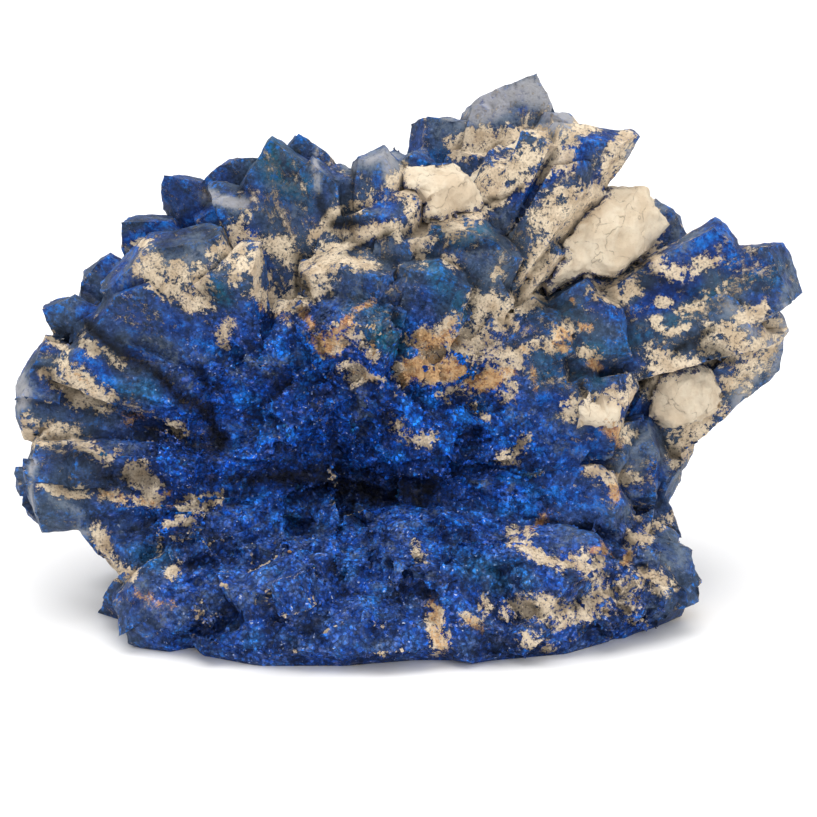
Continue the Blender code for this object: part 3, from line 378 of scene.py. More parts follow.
DRIFTS: dict[StainAndLight, Drift] = {
    StainAndLight.CLAY: Drift(1.0, 0.6, 0.4, 0.57, 0.70, upward=0.06),
    StainAndLight.IRON: Drift(1.0, 0.0, 1.0, 0.68, 0.84),
    StainAndLight.GLOOM: Drift(0.5, 1.0, 0.0, 0.62, 0.75),
    StainAndLight.BRIGHT: Drift(0.8, 1.0, 0.0, 0.5, 0.66),
    StainAndLight.FILM: Drift(0.55, 0.6, 0.4, 0.5, 0.68),
    StainAndLight.DUST: Drift(0.75, 1.0, 0.0, 0.45, 0.62),
    StainAndLight.TEAL: Drift(0.7, 0.0, 1.0, 0.55, 0.7),
}


@dataclass(frozen=True)
class FrontView:
    """Where the specimen is seen from, and how a point lands on its front."""

    aim: Point = (0.07, 0.01)
    aim_height: float = 11.7
    elevation: float = 18.0
    distance: float = 250.0
    lens: float = 180.1
    nearest: float = 0.01
    farthest: float = 10.0

    def flatten(self, points: np.ndarray) -> np.ndarray:
        """Places points on the front.

        Args:
            points: Positions in metres, one row each.

        Returns:
            Millimetres across and up, one row each.
        """
        local = points / MM - np.array([*self.aim, self.aim_height])
        tilt = math.radians(self.elevation)
        up = local[:, 2] * math.cos(tilt) + local[:, 1] * math.sin(tilt)
        depth = local[:, 1] * math.cos(tilt) - local[:, 2] * math.sin(tilt)
        near = self.distance / (self.distance + depth)
        return np.column_stack([local[:, 0] * near, up * near])

    def towards(self) -> Vector:
        """Gives the unit direction from the specimen to the viewer."""
        tilt = math.radians(self.elevation)
        return Vector((0.0, -math.cos(tilt), math.sin(tilt)))

    def add_camera(self) -> bpy.types.Object:
        """Adds the camera and makes it the scene's.

        Returns:
            The camera's object.
        """
        data = bpy.data.cameras.new("front_camera")
        data.lens = self.lens
        data.clip_start = self.nearest
        data.clip_end = self.farthest
        camera = bpy.data.objects.new("front_camera", data)
        bpy.context.scene.collection.objects.link(camera)
        aim = Vector((*self.aim, self.aim_height)) * MM
        camera.location = aim + self.towards() * self.distance * MM
        camera.rotation_euler = self.towards().to_track_quat("Z", "Y").to_euler()
        bpy.context.scene.camera = camera
        return camera


def value_noise(points: np.ndarray, cell: float, seed: int) -> np.ndarray:
    """Makes smooth noise that is the same each run.

    Args:
        points: Positions in metres.
        cell: Size of one swell in millimetres.
        seed: Picks one field of noise.

    Returns:
        A value from 0 to 1 for each point.
    """
    spot = points / (cell * MM) + NOISE_OFFSET + seed * SEED_SHIFT
    base = np.floor(spot).astype(np.int64)
    part = spot - base
    part = part * part * (3.0 - 2.0 * part)
    total = np.zeros(len(points))
    for corner in range(8):
        step = np.array([corner & 1, corner >> 1 & 1, corner >> 2 & 1])
        first, second, third = ((base + step) * np.array(CELL_PRIMES)).T
        mixed = first ^ second ^ third ^ seed * SEED_PRIME
        mixed = (mixed ^ mixed >> 13) * STIR_PRIME & 0x7FFFFFFF
        mixed = (mixed ^ mixed >> 15) & 0xFFFF
        share = np.prod(np.where(step == 1, part, 1.0 - part), axis=1)
        total += share * mixed / 0xFFFF
    return total


def layered_noise(points: np.ndarray, cell: float, seed: int, layers: int = 3) -> np.ndarray:
    """Adds finer and finer noise.

    Args:
        points: Positions in metres.
        cell: Size of the widest swell in millimetres.
        seed: Picks one field of noise.
        layers: How many times the swell is halved.

    Returns:
        A value from 0 to 1 for each point.
    """
    total = np.zeros(len(points))
    weight = 0.0
    for layer in range(layers):
        share = LAYER_FADE**layer
        total += share * value_noise(points, cell / 2**layer, seed + layer)
        weight += share
    return total / weight


def radial_place(points: np.ndarray) -> np.ndarray:
    """Places points by their direction from the growth centre, so that noise runs out in rays.

    Args:
        points: Positions in metres.

    Returns:
        Positions in metres, where a step sideways counts far more than a step outwards.
    """
    local = points / MM - np.array(GROWTH_CENTRE)
    reach = np.maximum(np.linalg.norm(local, axis=1), 1e-6)[:, None]
    return (local / reach * RAY_SPREAD + reach * np.array(RAY_DRIFT)) * MM


def ease(value: np.ndarray, low: float, high: float) -> np.ndarray:
    """Turns a value into a smooth step from low to high."""
    part = np.clip((value - low) / (high - low), 0.0, 1.0)
    return part * part * (3.0 - 2.0 * part)


def path_distance(spots: np.ndarray, path: Sequence[Point]) -> np.ndarray:
    """Measures how far points on the front lie from a path.

    Args:
        spots: Millimetres across and up.
        path: The corners of the path.

    Returns:
        Distances in millimetres.
    """
    nearest = np.full(len(spots), np.inf)
    for start, end in zip(path[:-1], path[1:]):
        first = np.array(start)
        along = np.array(end) - first
        length = max(float(along @ along), SHORTEST)
        share = np.clip((spots - first) @ along / length, 0.0, 1.0)
        gap = np.linalg.norm(spots - first - share[:, None] * along, axis=1)
        nearest = np.minimum(nearest, gap)
    return nearest


@dataclass
class Painter:
    """Works out every stain and the painted shade and sheen, from the front's daubs and from drifts
    on the other sides.
    """

    view: FrontView = field(default_factory=FrontView)
    daubs: tuple[Daub, ...] = FRONT_DAUBS
    wander: float = 0.5
    softness: float = 0.34
    spread: float = 0.9
    wide_cell: float = 6.0
    fine_cell: float = 1.6
    upward_sheen: float = 0.55

    def front_share(self, normals: np.ndarray) -> np.ndarray:
        """Says how far each normal faces the front, from 0 to 1."""
        return ease(normals @ np.array(self.view.towards()), -0.05, 0.2)

    def drift(self, stain: StainAndLight, points: np.ndarray, normals: np.ndarray) -> np.ndarray:
        """Gives a stain's own seeded drift, for the sides that the daubs leave out.

        Args:
            stain: Which stain.
            points: Positions in metres.
            normals: Unit normals.

        Returns:
            A value from 0 to 1 for each point.
        """
        kind = DRIFTS[stain]
        wide = layered_noise(points, self.wide_cell, 11 + len(stain.value))
        fine = layered_noise(points, self.fine_cell, 31 + len(stain.value) * 3)
        mixed = kind.wide * wide + kind.fine * fine
        upward = np.clip(normals[:, 2], 0.0, 1.0)
        return kind.gain * ease(mixed + kind.upward * upward, kind.low, kind.high)

    def wandering(self, points: np.ndarray) -> np.ndarray:
        """Places points on the front and lets them wander, so that no daub keeps a straight side.

        Args:
            points: Positions in metres.

        Returns:
            Millimetres across and up, one row each.
        """
        spots = self.view.flatten(points)
        for cell, share in ((2.2, 1.0), (0.9, 0.6)):
            across = value_noise(points, cell, 71) - 0.5
            up = value_noise(points, cell, 72) - 0.5
            spots = spots + 2.0 * self.wander * share * np.column_stack([across, up])
        return spots

    def paint_all(self, points: np.ndarray, normals: np.ndarray) -> dict[StainAndLight, np.ndarray]:
        """Works out every stain and the painted shade and sheen.

        Args:
            points: Positions in metres.
            normals: Unit normals.

        Returns:
            For each stain, a value from 0 to 1 for each point.
        """
        spots = self.wandering(points)
        front = self.front_share(normals)
        brushed = {stain: np.zeros(len(points)) for stain in StainAndLight}
        for daub in self.daubs:
            gap = path_distance(spots, daub.path)
            shown = daub.strength * (1.0 - ease(gap, 0.0, daub.width * self.spread + self.softness))
            brushed[daub.stain] = np.maximum(brushed[daub.stain], shown)
        # Painted sheen on faces that point up, where the top light falls.
        upward = np.clip(normals[:, 2], 0.0, 1.0) * layered_noise(points, 2.5, 91)
        brushed[StainAndLight.FILM] = np.maximum(brushed[StainAndLight.FILM], self.upward_sheen * upward)
        drifts = {stain: self.drift(stain, points, normals) for stain in StainAndLight}
        return {
            stain: np.clip(front * brushed[stain] + (1.0 - front) * drifts[stain], 0.0, 1.0)
            for stain in StainAndLight
        }


@dataclass
class Graph:
    """Adds nodes to one node tree and joins them."""

    tree: bpy.types.NodeTree

    def add(self, kind: str, **settings: object) -> bpy.types.Node:
        """Adds a node.

        Args:
            kind: Blender's name for the node's type.
            **settings: The node's options.

        Returns:
            The node.
        """
        node = self.tree.nodes.new(kind)
        for name, value in settings.items():
            setattr(node, name, value)
        return node

    def put(self, value: object, socket: bpy.types.NodeSocket) -> None:
        """Joins an output to a socket, or sets the socket's own value.

        Args:
            value: An output, a number, a vector or a colour.
            socket: The input.
        """
        if isinstance(value, bpy.types.NodeSocket):
            self.tree.links.new(value, socket)
        elif isinstance(value, tuple) and socket.type == "RGBA":
            socket.default_value = (*value, 1.0)
        else:
            socket.default_value = value

    def use(self, group: bpy.types.NodeTree, **inputs: object) -> bpy.types.Node:
        """Places a shared group.

        Args:
            group: The group.
            **inputs: What goes into its sockets, by their names.

        Returns:
            The group's node.
        """
        node = self.add("ShaderNodeGroup", node_tree=group)
        for name, value in inputs.items():
            self.put(value, node.inputs[name])
        return node

    def math(self, operation: str, *values: object) -> bpy.types.NodeSocket:
        """Joins values with one operation.

        Args:
            operation: Blender's name for it.
            *values: The values.

        Returns:
            The result.
        """
        node = self.add("ShaderNodeMath", operation=operation)
        for value, socket in zip(values, node.inputs):
            self.put(value, socket)
        return node.outputs[0]

    def plus(self, first: object, second: object) -> bpy.types.NodeSocket:
        """Adds two values."""
        return self.math("ADD", first, second)

    def minus(self, first: object, second: object) -> bpy.types.NodeSocket:
        """Takes the second value from the first."""
        return self.math("SUBTRACT", first, second)

    def times(self, first: object, second: object) -> bpy.types.NodeSocket:
        """Multiplies two values."""
        return self.math("MULTIPLY", first, second)

    def larger(self, first: object, second: object) -> bpy.types.NodeSocket:
        """Gives the larger of two values."""
        return self.math("MAXIMUM", first, second)

    def rest(self, value: object) -> bpy.types.NodeSocket:
        """Gives what a value leaves of one."""
        return self.minus(1.0, value)

    def swing(self, value: object, amount: float) -> bpy.types.NodeSocket:
        """Centres noise on zero and scales it."""
        return self.times(self.minus(value, 0.5), amount)

    def vector(self, operation: str, *values: object, scale: object = 1.0) -> bpy.types.NodeSocket:
        """Joins vectors with one operation.

        Args:
            operation: Blender's name for it.
            *values: The vectors.
            scale: What a SCALE operation multiplies by.

        Returns:
            The result.
        """
        node = self.add("ShaderNodeVectorMath", operation=operation)
        for value, socket in zip(values, node.inputs):
            self.put(value, socket)
        if operation == "SCALE":
            self.put(scale, node.inputs["Scale"])
        return node.outputs["Value" if operation == "LENGTH" else "Vector"]

    def mix(
        self, share: object, first: object, second: object, blend: str = "MIX"
    ) -> bpy.types.NodeSocket:
        """Mixes two colours.

        Args:
            share: How much of the second shows.
            first: The first colour.
            second: The second colour.
            blend: Blender's name for the way they mix.

        Returns:
            The colour.
        """
        node = self.add("ShaderNodeMix", data_type="RGBA", blend_type=blend)
        self.put(share, node.inputs[0])
        self.put(first, node.inputs[6])
        self.put(second, node.inputs[7])
        return node.outputs[2]

    def step(self, value: object, low: float, high: float) -> bpy.types.NodeSocket:
        """Turns a value into a smooth step.

        Args:
            value: The value.
            low: Where the step leaves zero.
            high: Where it reaches one.

        Returns:
            The step, from 0 to 1.
        """
        node = self.add("ShaderNodeMapRange", interpolation_type="SMOOTHSTEP")
        self.put(value, node.inputs["Value"])
        node.inputs["From Min"].default_value = low
        node.inputs["From Max"].default_value = high
        return node.outputs["Result"]

    def noise(
        self, place: object, scale: float, detail: float = 3.0, roughness: float = 0.55
    ) -> bpy.types.NodeSocket:
        """Adds soft noise.

        Args:
            place: Coordinates in millimetres.
            scale: How many swells there are to the millimetre.
            detail: How many finer layers it has.
            roughness: How strong the finer layers are.

        Returns:
            A value from 0 to 1.
        """
        node = self.add("ShaderNodeTexNoise")
        self.put(place, node.inputs["Vector"])
        node.inputs["Scale"].default_value = scale
        node.inputs["Detail"].default_value = detail
        node.inputs["Roughness"].default_value = roughness
        return node.outputs["Fac"]

    def cells(self, place: object, scale: object, feature: str = "F1") -> bpy.types.Node:
        """Adds a field of cells.

        Args:
            place: Coordinates in millimetres.
            scale: How many cells there are to the millimetre.
            feature: Blender's name for what is measured.

        Returns:
            The node.
        """
        node = self.add("ShaderNodeTexVoronoi", feature=feature)
        self.put(place, node.inputs["Vector"])
        self.put(scale, node.inputs["Scale"])
        return node

    def red(self, colour: object) -> bpy.types.NodeSocket:
        """Takes the first channel of a colour.

        Args:
            colour: The colour.

        Returns:
            The channel's value.
        """
        node = self.add("ShaderNodeSeparateColor")
        self.put(colour, node.inputs[0])
        return node.outputs[0]

    def height(self, place: object) -> bpy.types.NodeSocket:
        """Takes the height from coordinates.

        Args:
            place: The coordinates.

        Returns:
            The height.
        """
        node = self.add("ShaderNodeSeparateXYZ")
        self.put(place, node.inputs[0])
        return node.outputs["Z"]

    def millimetres(self) -> bpy.types.NodeSocket:
        """Gives the piece's own coordinates in millimetres."""
        place = self.add("ShaderNodeTexCoord").outputs["Object"]
        return self.vector("SCALE", place, scale=1.0 / MM)

    def bent(self, place: object, scale: float, amount: float) -> bpy.types.NodeSocket:
        """Warps coordinates a little, so that cells lose their straight sides.

        Args:
            place: Coordinates in millimetres.
            scale: How many bends there are to the millimetre.
            amount: How far they reach, in millimetres.

        Returns:
            The warped coordinates.
        """
        warp = self.add("ShaderNodeTexNoise")
        self.put(place, warp.inputs["Vector"])
        warp.inputs["Scale"].default_value = scale
        return self.vector("MULTIPLY_ADD", warp.outputs["Color"], (amount, amount, amount), place)

    def rays(self, place: object) -> bpy.types.NodeSocket:
        """Gives coordinates in which noise runs out in rays from the growth centre.

        Args:
            place: Coordinates in millimetres.

        Returns:
            The new coordinates.
        """
        local = self.vector("SUBTRACT", place, GROWTH_CENTRE)
        spread = self.vector("SCALE", self.vector("NORMALIZE", local), scale=RAY_SPREAD)
        drift = self.vector("SCALE", RAY_DRIFT, scale=self.vector("LENGTH", local))
        return self.vector("ADD", spread, drift)

    def layer(self, name: str) -> bpy.types.NodeSocket:
        """Reads a value that the piece keeps for each point."""
        return self.add("ShaderNodeAttribute", attribute_name=name).outputs["Fac"]

    def painted(self, stain: StainAndLight) -> bpy.types.NodeSocket:
        """Reads one painted stain, or the painted shade or painted sheen."""
        return self.layer(stain.value)

    def bump(self, height: object, strength: float, depth: float) -> bpy.types.NodeSocket:
        """Turns a height into a normal.

        Args:
            height: The height.
            strength: How much of the bump shows.
            depth: What a height of one stands for, in millimetres.

        Returns:
            The normal.
        """
        node = self.add("ShaderNodeBump")
        self.put(height, node.inputs["Height"])
        node.inputs["Strength"].default_value = strength
        node.inputs["Distance"].default_value = depth * MM
        return node.outputs["Normal"]

    def tilted(self, normal: object, tilt: object, amount: object) -> bpy.types.NodeSocket:
        """Tilts a normal towards each grain's own side, so that grains shade as flat facets."""
        total = self.vector("ADD", normal, self.vector("SCALE", tilt, scale=amount))
        return self.vector("NORMALIZE", total)


@dataclass(frozen=True)
class GroupSocket:
    """One named socket of a shader node group."""

    name: str
    kind: str = "NodeSocketFloat"
    value: object = None


def new_group(
    name: str, inputs: Sequence[GroupSocket], outputs: Sequence[GroupSocket]
) -> bpy.types.NodeTree:
    """Makes an empty shader node group with its sockets.

    Args:
        name: The group's name.
        inputs: Its input sockets.
        outputs: Its output sockets.

    Returns:
        The group.
    """
    group = bpy.data.node_groups.new(name, "ShaderNodeTree")
    for socket in inputs:
        made = group.interface.new_socket(name=socket.name, in_out="INPUT", socket_type=socket.kind)
        if socket.value is not None:
            made.default_value = socket.value
    for socket in outputs:
        group.interface.new_socket(name=socket.name, in_out="OUTPUT", socket_type=socket.kind)
    return group


def new_material(name: str) -> tuple[bpy.types.Material, Graph]:
    """Makes an empty material.

    Args:
        name: The material's name.

    Returns:
        The material and its graph.
    """
    material = bpy.data.materials.new(name)
    material.use_nodes = True
    material.node_tree.nodes.clear()
    return material, Graph(material.node_tree)


@dataclass(frozen=True)
class GrainGroup:
    """The grain that crystal and clay share: small cells, their chance values and their relief."""

    name: str = "grain"
    bend: float = 2.6
    bend_reach: float = 0.35
    finer: float = 2.3

    def build(self) -> bpy.types.NodeTree:
        """Makes the group.

        Returns:
            A group with Place, Scale and outputs Chance, Spark, Relief, Cleft and Tilt.
        """
        group = new_group(
            self.name,
            (GroupSocket("Place", "NodeSocketVector"), GroupSocket("Scale", value=5.0)),
            (
                GroupSocket("Chance"),
                GroupSocket("Spark"),
                GroupSocket("Relief"),
                GroupSocket("Cleft"),
                GroupSocket("Tilt", "NodeSocketVector"),
            ),
        )
        graph = Graph(group)
        source = graph.add("NodeGroupInput").outputs
        place = graph.bent(source["Place"], self.bend, self.bend_reach)
        coarse = graph.cells(place, source["Scale"]).outputs
        fine = graph.cells(place, graph.times(source["Scale"], self.finer)).outputs
        results = {
            "Chance": graph.red(coarse["Color"]),
            "Spark": graph.red(fine["Color"]),
            "Relief": graph.plus(coarse["Distance"], graph.times(fine["Distance"], 0.5)),
            "Cleft": graph.step(coarse["Distance"], 0.42, 0.75),
            "Tilt": graph.vector("SUBTRACT", coarse["Color"], (0.5, 0.5, 0.5)),
        }
        target = graph.add("NodeGroupOutput")
        for name, value in results.items():
            graph.put(value, target.inputs[name])
        return group


@dataclass(frozen=True)
class DirtGroup:
    """Dusty clay, fine dust and iron over a colour."""

    clay: Colour = (0.88, 0.74, 0.55)
    clay_dark: Colour = (0.58, 0.44, 0.29)
    iron: Colour = (0.76, 0.47, 0.22)
    rust: Colour = (0.43, 0.18, 0.06)
    name: str = "dirt"
    clay_cover: float = 0.94
    iron_cover: float = 0.85
    ragged_edge: float = 5.0
    crumbly_edge: float = 3.6
    stained_edge: float = 4.0
    dust_reach: float = 0.68
    dust_gain: float = 0.15

    def build(self) -> bpy.types.NodeTree:
        """Makes the group.

        Returns:
            A group with Colour, Place, Clay, Dust and Iron, and outputs Colour and Cover.
        """
        group = new_group(
            self.name,
            (
                GroupSocket("Colour", "NodeSocketColor"),
                GroupSocket("Place", "NodeSocketVector"),
                GroupSocket("Clay", value=0.0),
                GroupSocket("Dust", value=0.0),
                GroupSocket("Iron", value=0.0),
            ),
            (GroupSocket("Colour", "NodeSocketColor"), GroupSocket("Cover")),
        )
        graph = Graph(group)
        source = graph.add("NodeGroupInput").outputs
        place = source["Place"]
        wide = graph.noise(place, 0.9, detail=4.0)
        ragged = graph.noise(place, 1.1, detail=9.0, roughness=0.82)
        specks = graph.noise(place, 2.2, detail=9.0, roughness=0.88)
        powder = graph.noise(place, 7.0, detail=4.0, roughness=0.8)
        crumbs = graph.noise(place, 3.4, detail=6.0, roughness=0.75)
        flecks = graph.noise(graph.rays(place), 1.5, detail=6.0, roughness=0.8)

        # Clay lies in solid patches with ragged edges, worn through by a fine powder of gaps.
        crumbly = graph.swing(crumbs, self.crumbly_edge)
        edge = graph.plus(graph.swing(ragged, self.ragged_edge), crumbly)
        solid = graph.step(graph.plus(source["Clay"], edge), 0.42, 0.54)
        solid = graph.times(solid, graph.step(source["Clay"], 0.02, 0.16))
        worn = graph.step(powder, 0.34, 0.44)
        solid = graph.times(solid, graph.plus(0.25, graph.times(worn, 0.75)))

        # Dust lies in specks, more of them where it is thick.
        flecks = graph.plus(specks, graph.swing(flecks, 0.7))
        reach = graph.minus(self.dust_reach, graph.times(source["Dust"], self.dust_gain))
        dusty = graph.step(graph.minus(flecks, reach), -0.01, 0.05)
        dusty = graph.times(dusty, graph.step(source["Dust"], 0.02, 0.3))
        tone = graph.mix(graph.step(wide, 0.40, 0.68), self.clay, self.clay_dark)
        shaded = graph.mix(graph.times(graph.step(powder, 0.62, 0.4), 0.45), tone, self.clay_dark)
        thin = graph.plus(0.45, graph.times(graph.step(powder, 0.4, 0.62), 0.45))
        colour = graph.mix(graph.times(dusty, thin), source["Colour"], shaded)
        colour = graph.mix(graph.times(solid, self.clay_cover), colour, shaded)

        # Iron stains what it lies on.
        stained = graph.plus(source["Iron"], graph.swing(specks, self.stained_edge))
        stained = graph.step(stained, 0.46, 0.80)
        stained = graph.times(stained, graph.step(source["Iron"], 0.02, 0.25))
        rust = graph.mix(graph.step(crumbs, 0.40, 0.54), self.rust, self.iron)
        colour = graph.mix(graph.times(stained, self.iron_cover), colour, rust)
        target = graph.add("NodeGroupOutput")
        graph.put(colour, target.inputs["Colour"])
        graph.put(graph.larger(solid, dusty), target.inputs["Cover"])
        return group


@dataclass(frozen=True)
class AzuriteFinish:
    """Deep blue crystal, from near-black navy to bright azure, with grains, painted sheen, painted
    glints, painted shade and dirt.
    """

    name: str = "azurite_crystal"
    navy: Colour = (0.005, 0.017, 0.072)
    ultramarine: Colour = (0.003, 0.046, 0.290)
    azure: Colour = (0.010, 0.165, 0.600)
    teal: Colour = (0.008, 0.115, 0.190)
    mauve: Colour = (0.105, 0.110, 0.215)
    slate: Colour = (0.046, 0.076, 0.128)
    faint_sheen: Colour = (0.15, 0.195, 0.26)
    film: Colour = (0.43, 0.425, 0.44)
    glint: Colour = (0.60, 0.68, 0.90)
    grain: float = 4.6
    foot_low: float = 5.0
    foot_high: float = 9.0
    darkest: float = 0.12
    sheen_cover: float = 0.8
    cleft_dark: float = 0.6
    hollow_dark: float = 0.6
    painted_shade_dark: float = 0.94
    settled_dust: float = 0.5
    dirt_rough: float = 0.95
    coat: float = 0.2
    coat_rough: float = 0.2
    specular: float = 0.16
    bump: float = 0.75
    bump_depth: float = 0.13

    def base(
        self, graph: Graph, place: object, fine: object, drusy: object
    ) -> bpy.types.NodeSocket:
        """Mixes the blues, duller and brighter.

        Args:
            graph: The material's graph.
            place: The piece's coordinates in millimetres.
            fine: The finest noise.
            drusy: How crowded the small crystals are.

        Returns:
            The colour.
        """
        broad = graph.noise(place, 0.3, detail=2.0)
        patchy = graph.noise(place, 0.85, detail=7.0, roughness=0.68)
        veins = graph.noise(place, 1.7, detail=6.0, roughness=0.7)
        streak = graph.noise(graph.rays(place), 0.8, detail=5.0, roughness=0.65)
        mottle = graph.plus(patchy, graph.swing(streak, 0.7))
        mottle = graph.plus(mottle, graph.swing(fine, 0.5))
        mottle = graph.plus(mottle, graph.times(drusy, 0.07))
        ridge = graph.rest(graph.step(graph.layer(HOLLOW), 0.2, 0.47))
        bright = graph.painted(StainAndLight.BRIGHT)
        colour = graph.mix(graph.step(mottle, 0.40, 0.62), self.navy, self.ultramarine)
        dull = graph.step(graph.plus(broad, graph.times(mottle, 0.3)), 0.52, 0.74)
        dull = graph.plus(0.4, graph.times(dull, 0.5))
        dull = graph.times(dull, graph.rest(graph.larger(bright, drusy)))
        foot = graph.rest(graph.step(graph.height(place), self.foot_low, self.foot_high))
        foot = graph.times(foot, graph.times(graph.step(patchy, 0.40, 0.66), 0.8))
        colour = graph.mix(graph.larger(dull, foot), colour, self.slate)
        green = graph.times(graph.painted(StainAndLight.TEAL), graph.step(mottle, 0.36, 0.6))
        colour = graph.mix(green, colour, self.teal)
        colour = graph.mix(graph.times(bright, 0.45), colour, self.ultramarine)
        muted = graph.plus(0.2, graph.times(drusy, 0.35))
        colour = graph.mix(graph.times(graph.step(veins, 0.53, 0.66), muted), colour, self.mauve)
        vivid = graph.plus(graph.times(bright, 0.16), mottle)
        colour = graph.mix(graph.times(graph.step(vivid, 0.60, 0.86), 0.8), colour, self.azure)
        # Ridges turn azure in specks: a painted highlight along the rims.
        return graph.mix(graph.times(ridge, graph.step(fine, 0.46, 0.7)), colour, self.azure)

    def blue(
        self, graph: Graph, place: object, grain: bpy.types.Node, drusy: object
    ) -> bpy.types.NodeSocket:
        """Gives the crystal its own colour, with each grain lighter or darker and painted glints on
        some.

        Args:
            graph: The material's graph.
            place: The piece's coordinates in millimetres.
            grain: The placed grain group.
            drusy: How crowded the small crystals are.

        Returns:
            The colour.
        """
        fine = graph.noise(place, 3.6, detail=5.0, roughness=0.72)
        chance = grain.outputs["Chance"]
        spread = graph.plus(0.5, graph.times(drusy, 1.6))
        lift = graph.times(graph.minus(graph.times(chance, chance), 0.33), spread)
        lift = graph.plus(graph.plus(1.0, graph.times(drusy, 0.45)), lift)
        lift = graph.larger(graph.plus(lift, graph.swing(fine, 2.0)), self.darkest)
        base = self.base(graph, place, fine, drusy)
        colour = graph.mix(1.0, base, lift, "MULTIPLY")
        # Painted glints: a few grains turn pale blue-white.
        spark = graph.step(grain.outputs["Spark"], 0.965, 0.985)
        spark = graph.times(spark, graph.step(chance, 0.5, 0.75))
        spark = graph.times(spark, graph.plus(0.12, graph.times(drusy, 0.75)))
        return graph.mix(spark, colour, self.glint)

    def build(
        self, grain_group: bpy.types.NodeTree, dirt_group: bpy.types.NodeTree
    ) -> bpy.types.Material:
        """Makes the material.

        Args:
            grain_group: The shared grain.
            dirt_group: The shared dirt.

        Returns:
            The material.
        """
        material, graph = new_material(self.name)
        place = graph.millimetres()
        grain = graph.use(grain_group, Place=place, Scale=self.grain)
        drusy = graph.layer(DRUSY)
        hollow = graph.layer(HOLLOW)
        film = graph.painted(StainAndLight.FILM)
        patchy = graph.noise(place, 1.2, detail=7.0, roughness=0.75)
        fine = graph.noise(place, 5.0, detail=4.0, roughness=0.65)

        # A painted sheen over the blue, and painted shade in the clefts between the grains.
        sheen_share = graph.plus(graph.plus(film, graph.swing(patchy, 2.6)), graph.swing(fine, 1.4))
        sheen_share = graph.times(graph.step(sheen_share, 0.15, 0.95), graph.step(film, 0.0, 0.25))
        sheen_tone = graph.mix(graph.step(film, 0.55, 1.0), self.faint_sheen, self.film)
        colour = self.blue(graph, place, grain, drusy)
        colour = graph.mix(graph.times(sheen_share, self.sheen_cover), colour, sheen_tone)
        cleft = graph.times(graph.times(grain.outputs["Cleft"], drusy), self.cleft_dark)
        colour = graph.mix(cleft, colour, self.navy)

        # Dirt over both, and then painted shade in the gaps and hollows.
        settled = graph.times(graph.rest(drusy), self.settled_dust)
        dirt = graph.use(
            dirt_group,
            Colour=colour,
            Place=place,
            Clay=graph.painted(StainAndLight.CLAY),
            Dust=graph.larger(graph.painted(StainAndLight.DUST), settled),
            Iron=graph.painted(StainAndLight.IRON),
        )
        cover = dirt.outputs["Cover"]
        bare = graph.rest(cover)
        gloom = graph.rest(graph.times(graph.painted(StainAndLight.GLOOM), self.painted_shade_dark))
        shade = graph.rest(graph.times(graph.step(hollow, 0.52, 0.85), self.hollow_dark))
        final = graph.mix(1.0, dirt.outputs["Colour"], graph.times(gloom, shade), "MULTIPLY")

        shader = graph.add("ShaderNodeBsdfPrincipled")
        graph.put(final, shader.inputs["Base Color"])
        rough = graph.times(graph.plus(0.3, graph.times(fine, 0.4)), bare)
        rough = graph.plus(rough, graph.times(cover, self.dirt_rough))
        graph.put(rough, shader.inputs["Roughness"])
        shader.inputs["Specular IOR Level"].default_value = self.specular
        shader.inputs["Coat Roughness"].default_value = self.coat_rough
        shiny = graph.times(graph.step(patchy, 0.52, 0.7), self.coat)
        graph.put(graph.times(bare, shiny), shader.inputs["Coat Weight"])
        relief = graph.times(grain.outputs["Relief"], graph.times(drusy, -0.6))
        relief = graph.plus(graph.plus(relief, fine), graph.times(patchy, 1.6))
        relief = graph.plus(relief, graph.times(cover, 1.1))
        normal = graph.bump(relief, self.bump, self.bump_depth)
        amount = graph.times(graph.plus(0.12, graph.times(drusy, 0.5)), bare)
        graph.put(graph.tilted(normal, grain.outputs["Tilt"], amount), shader.inputs["Normal"])
        graph.put(shader.outputs[0], graph.add("ShaderNodeOutputMaterial").inputs[0])
        return material


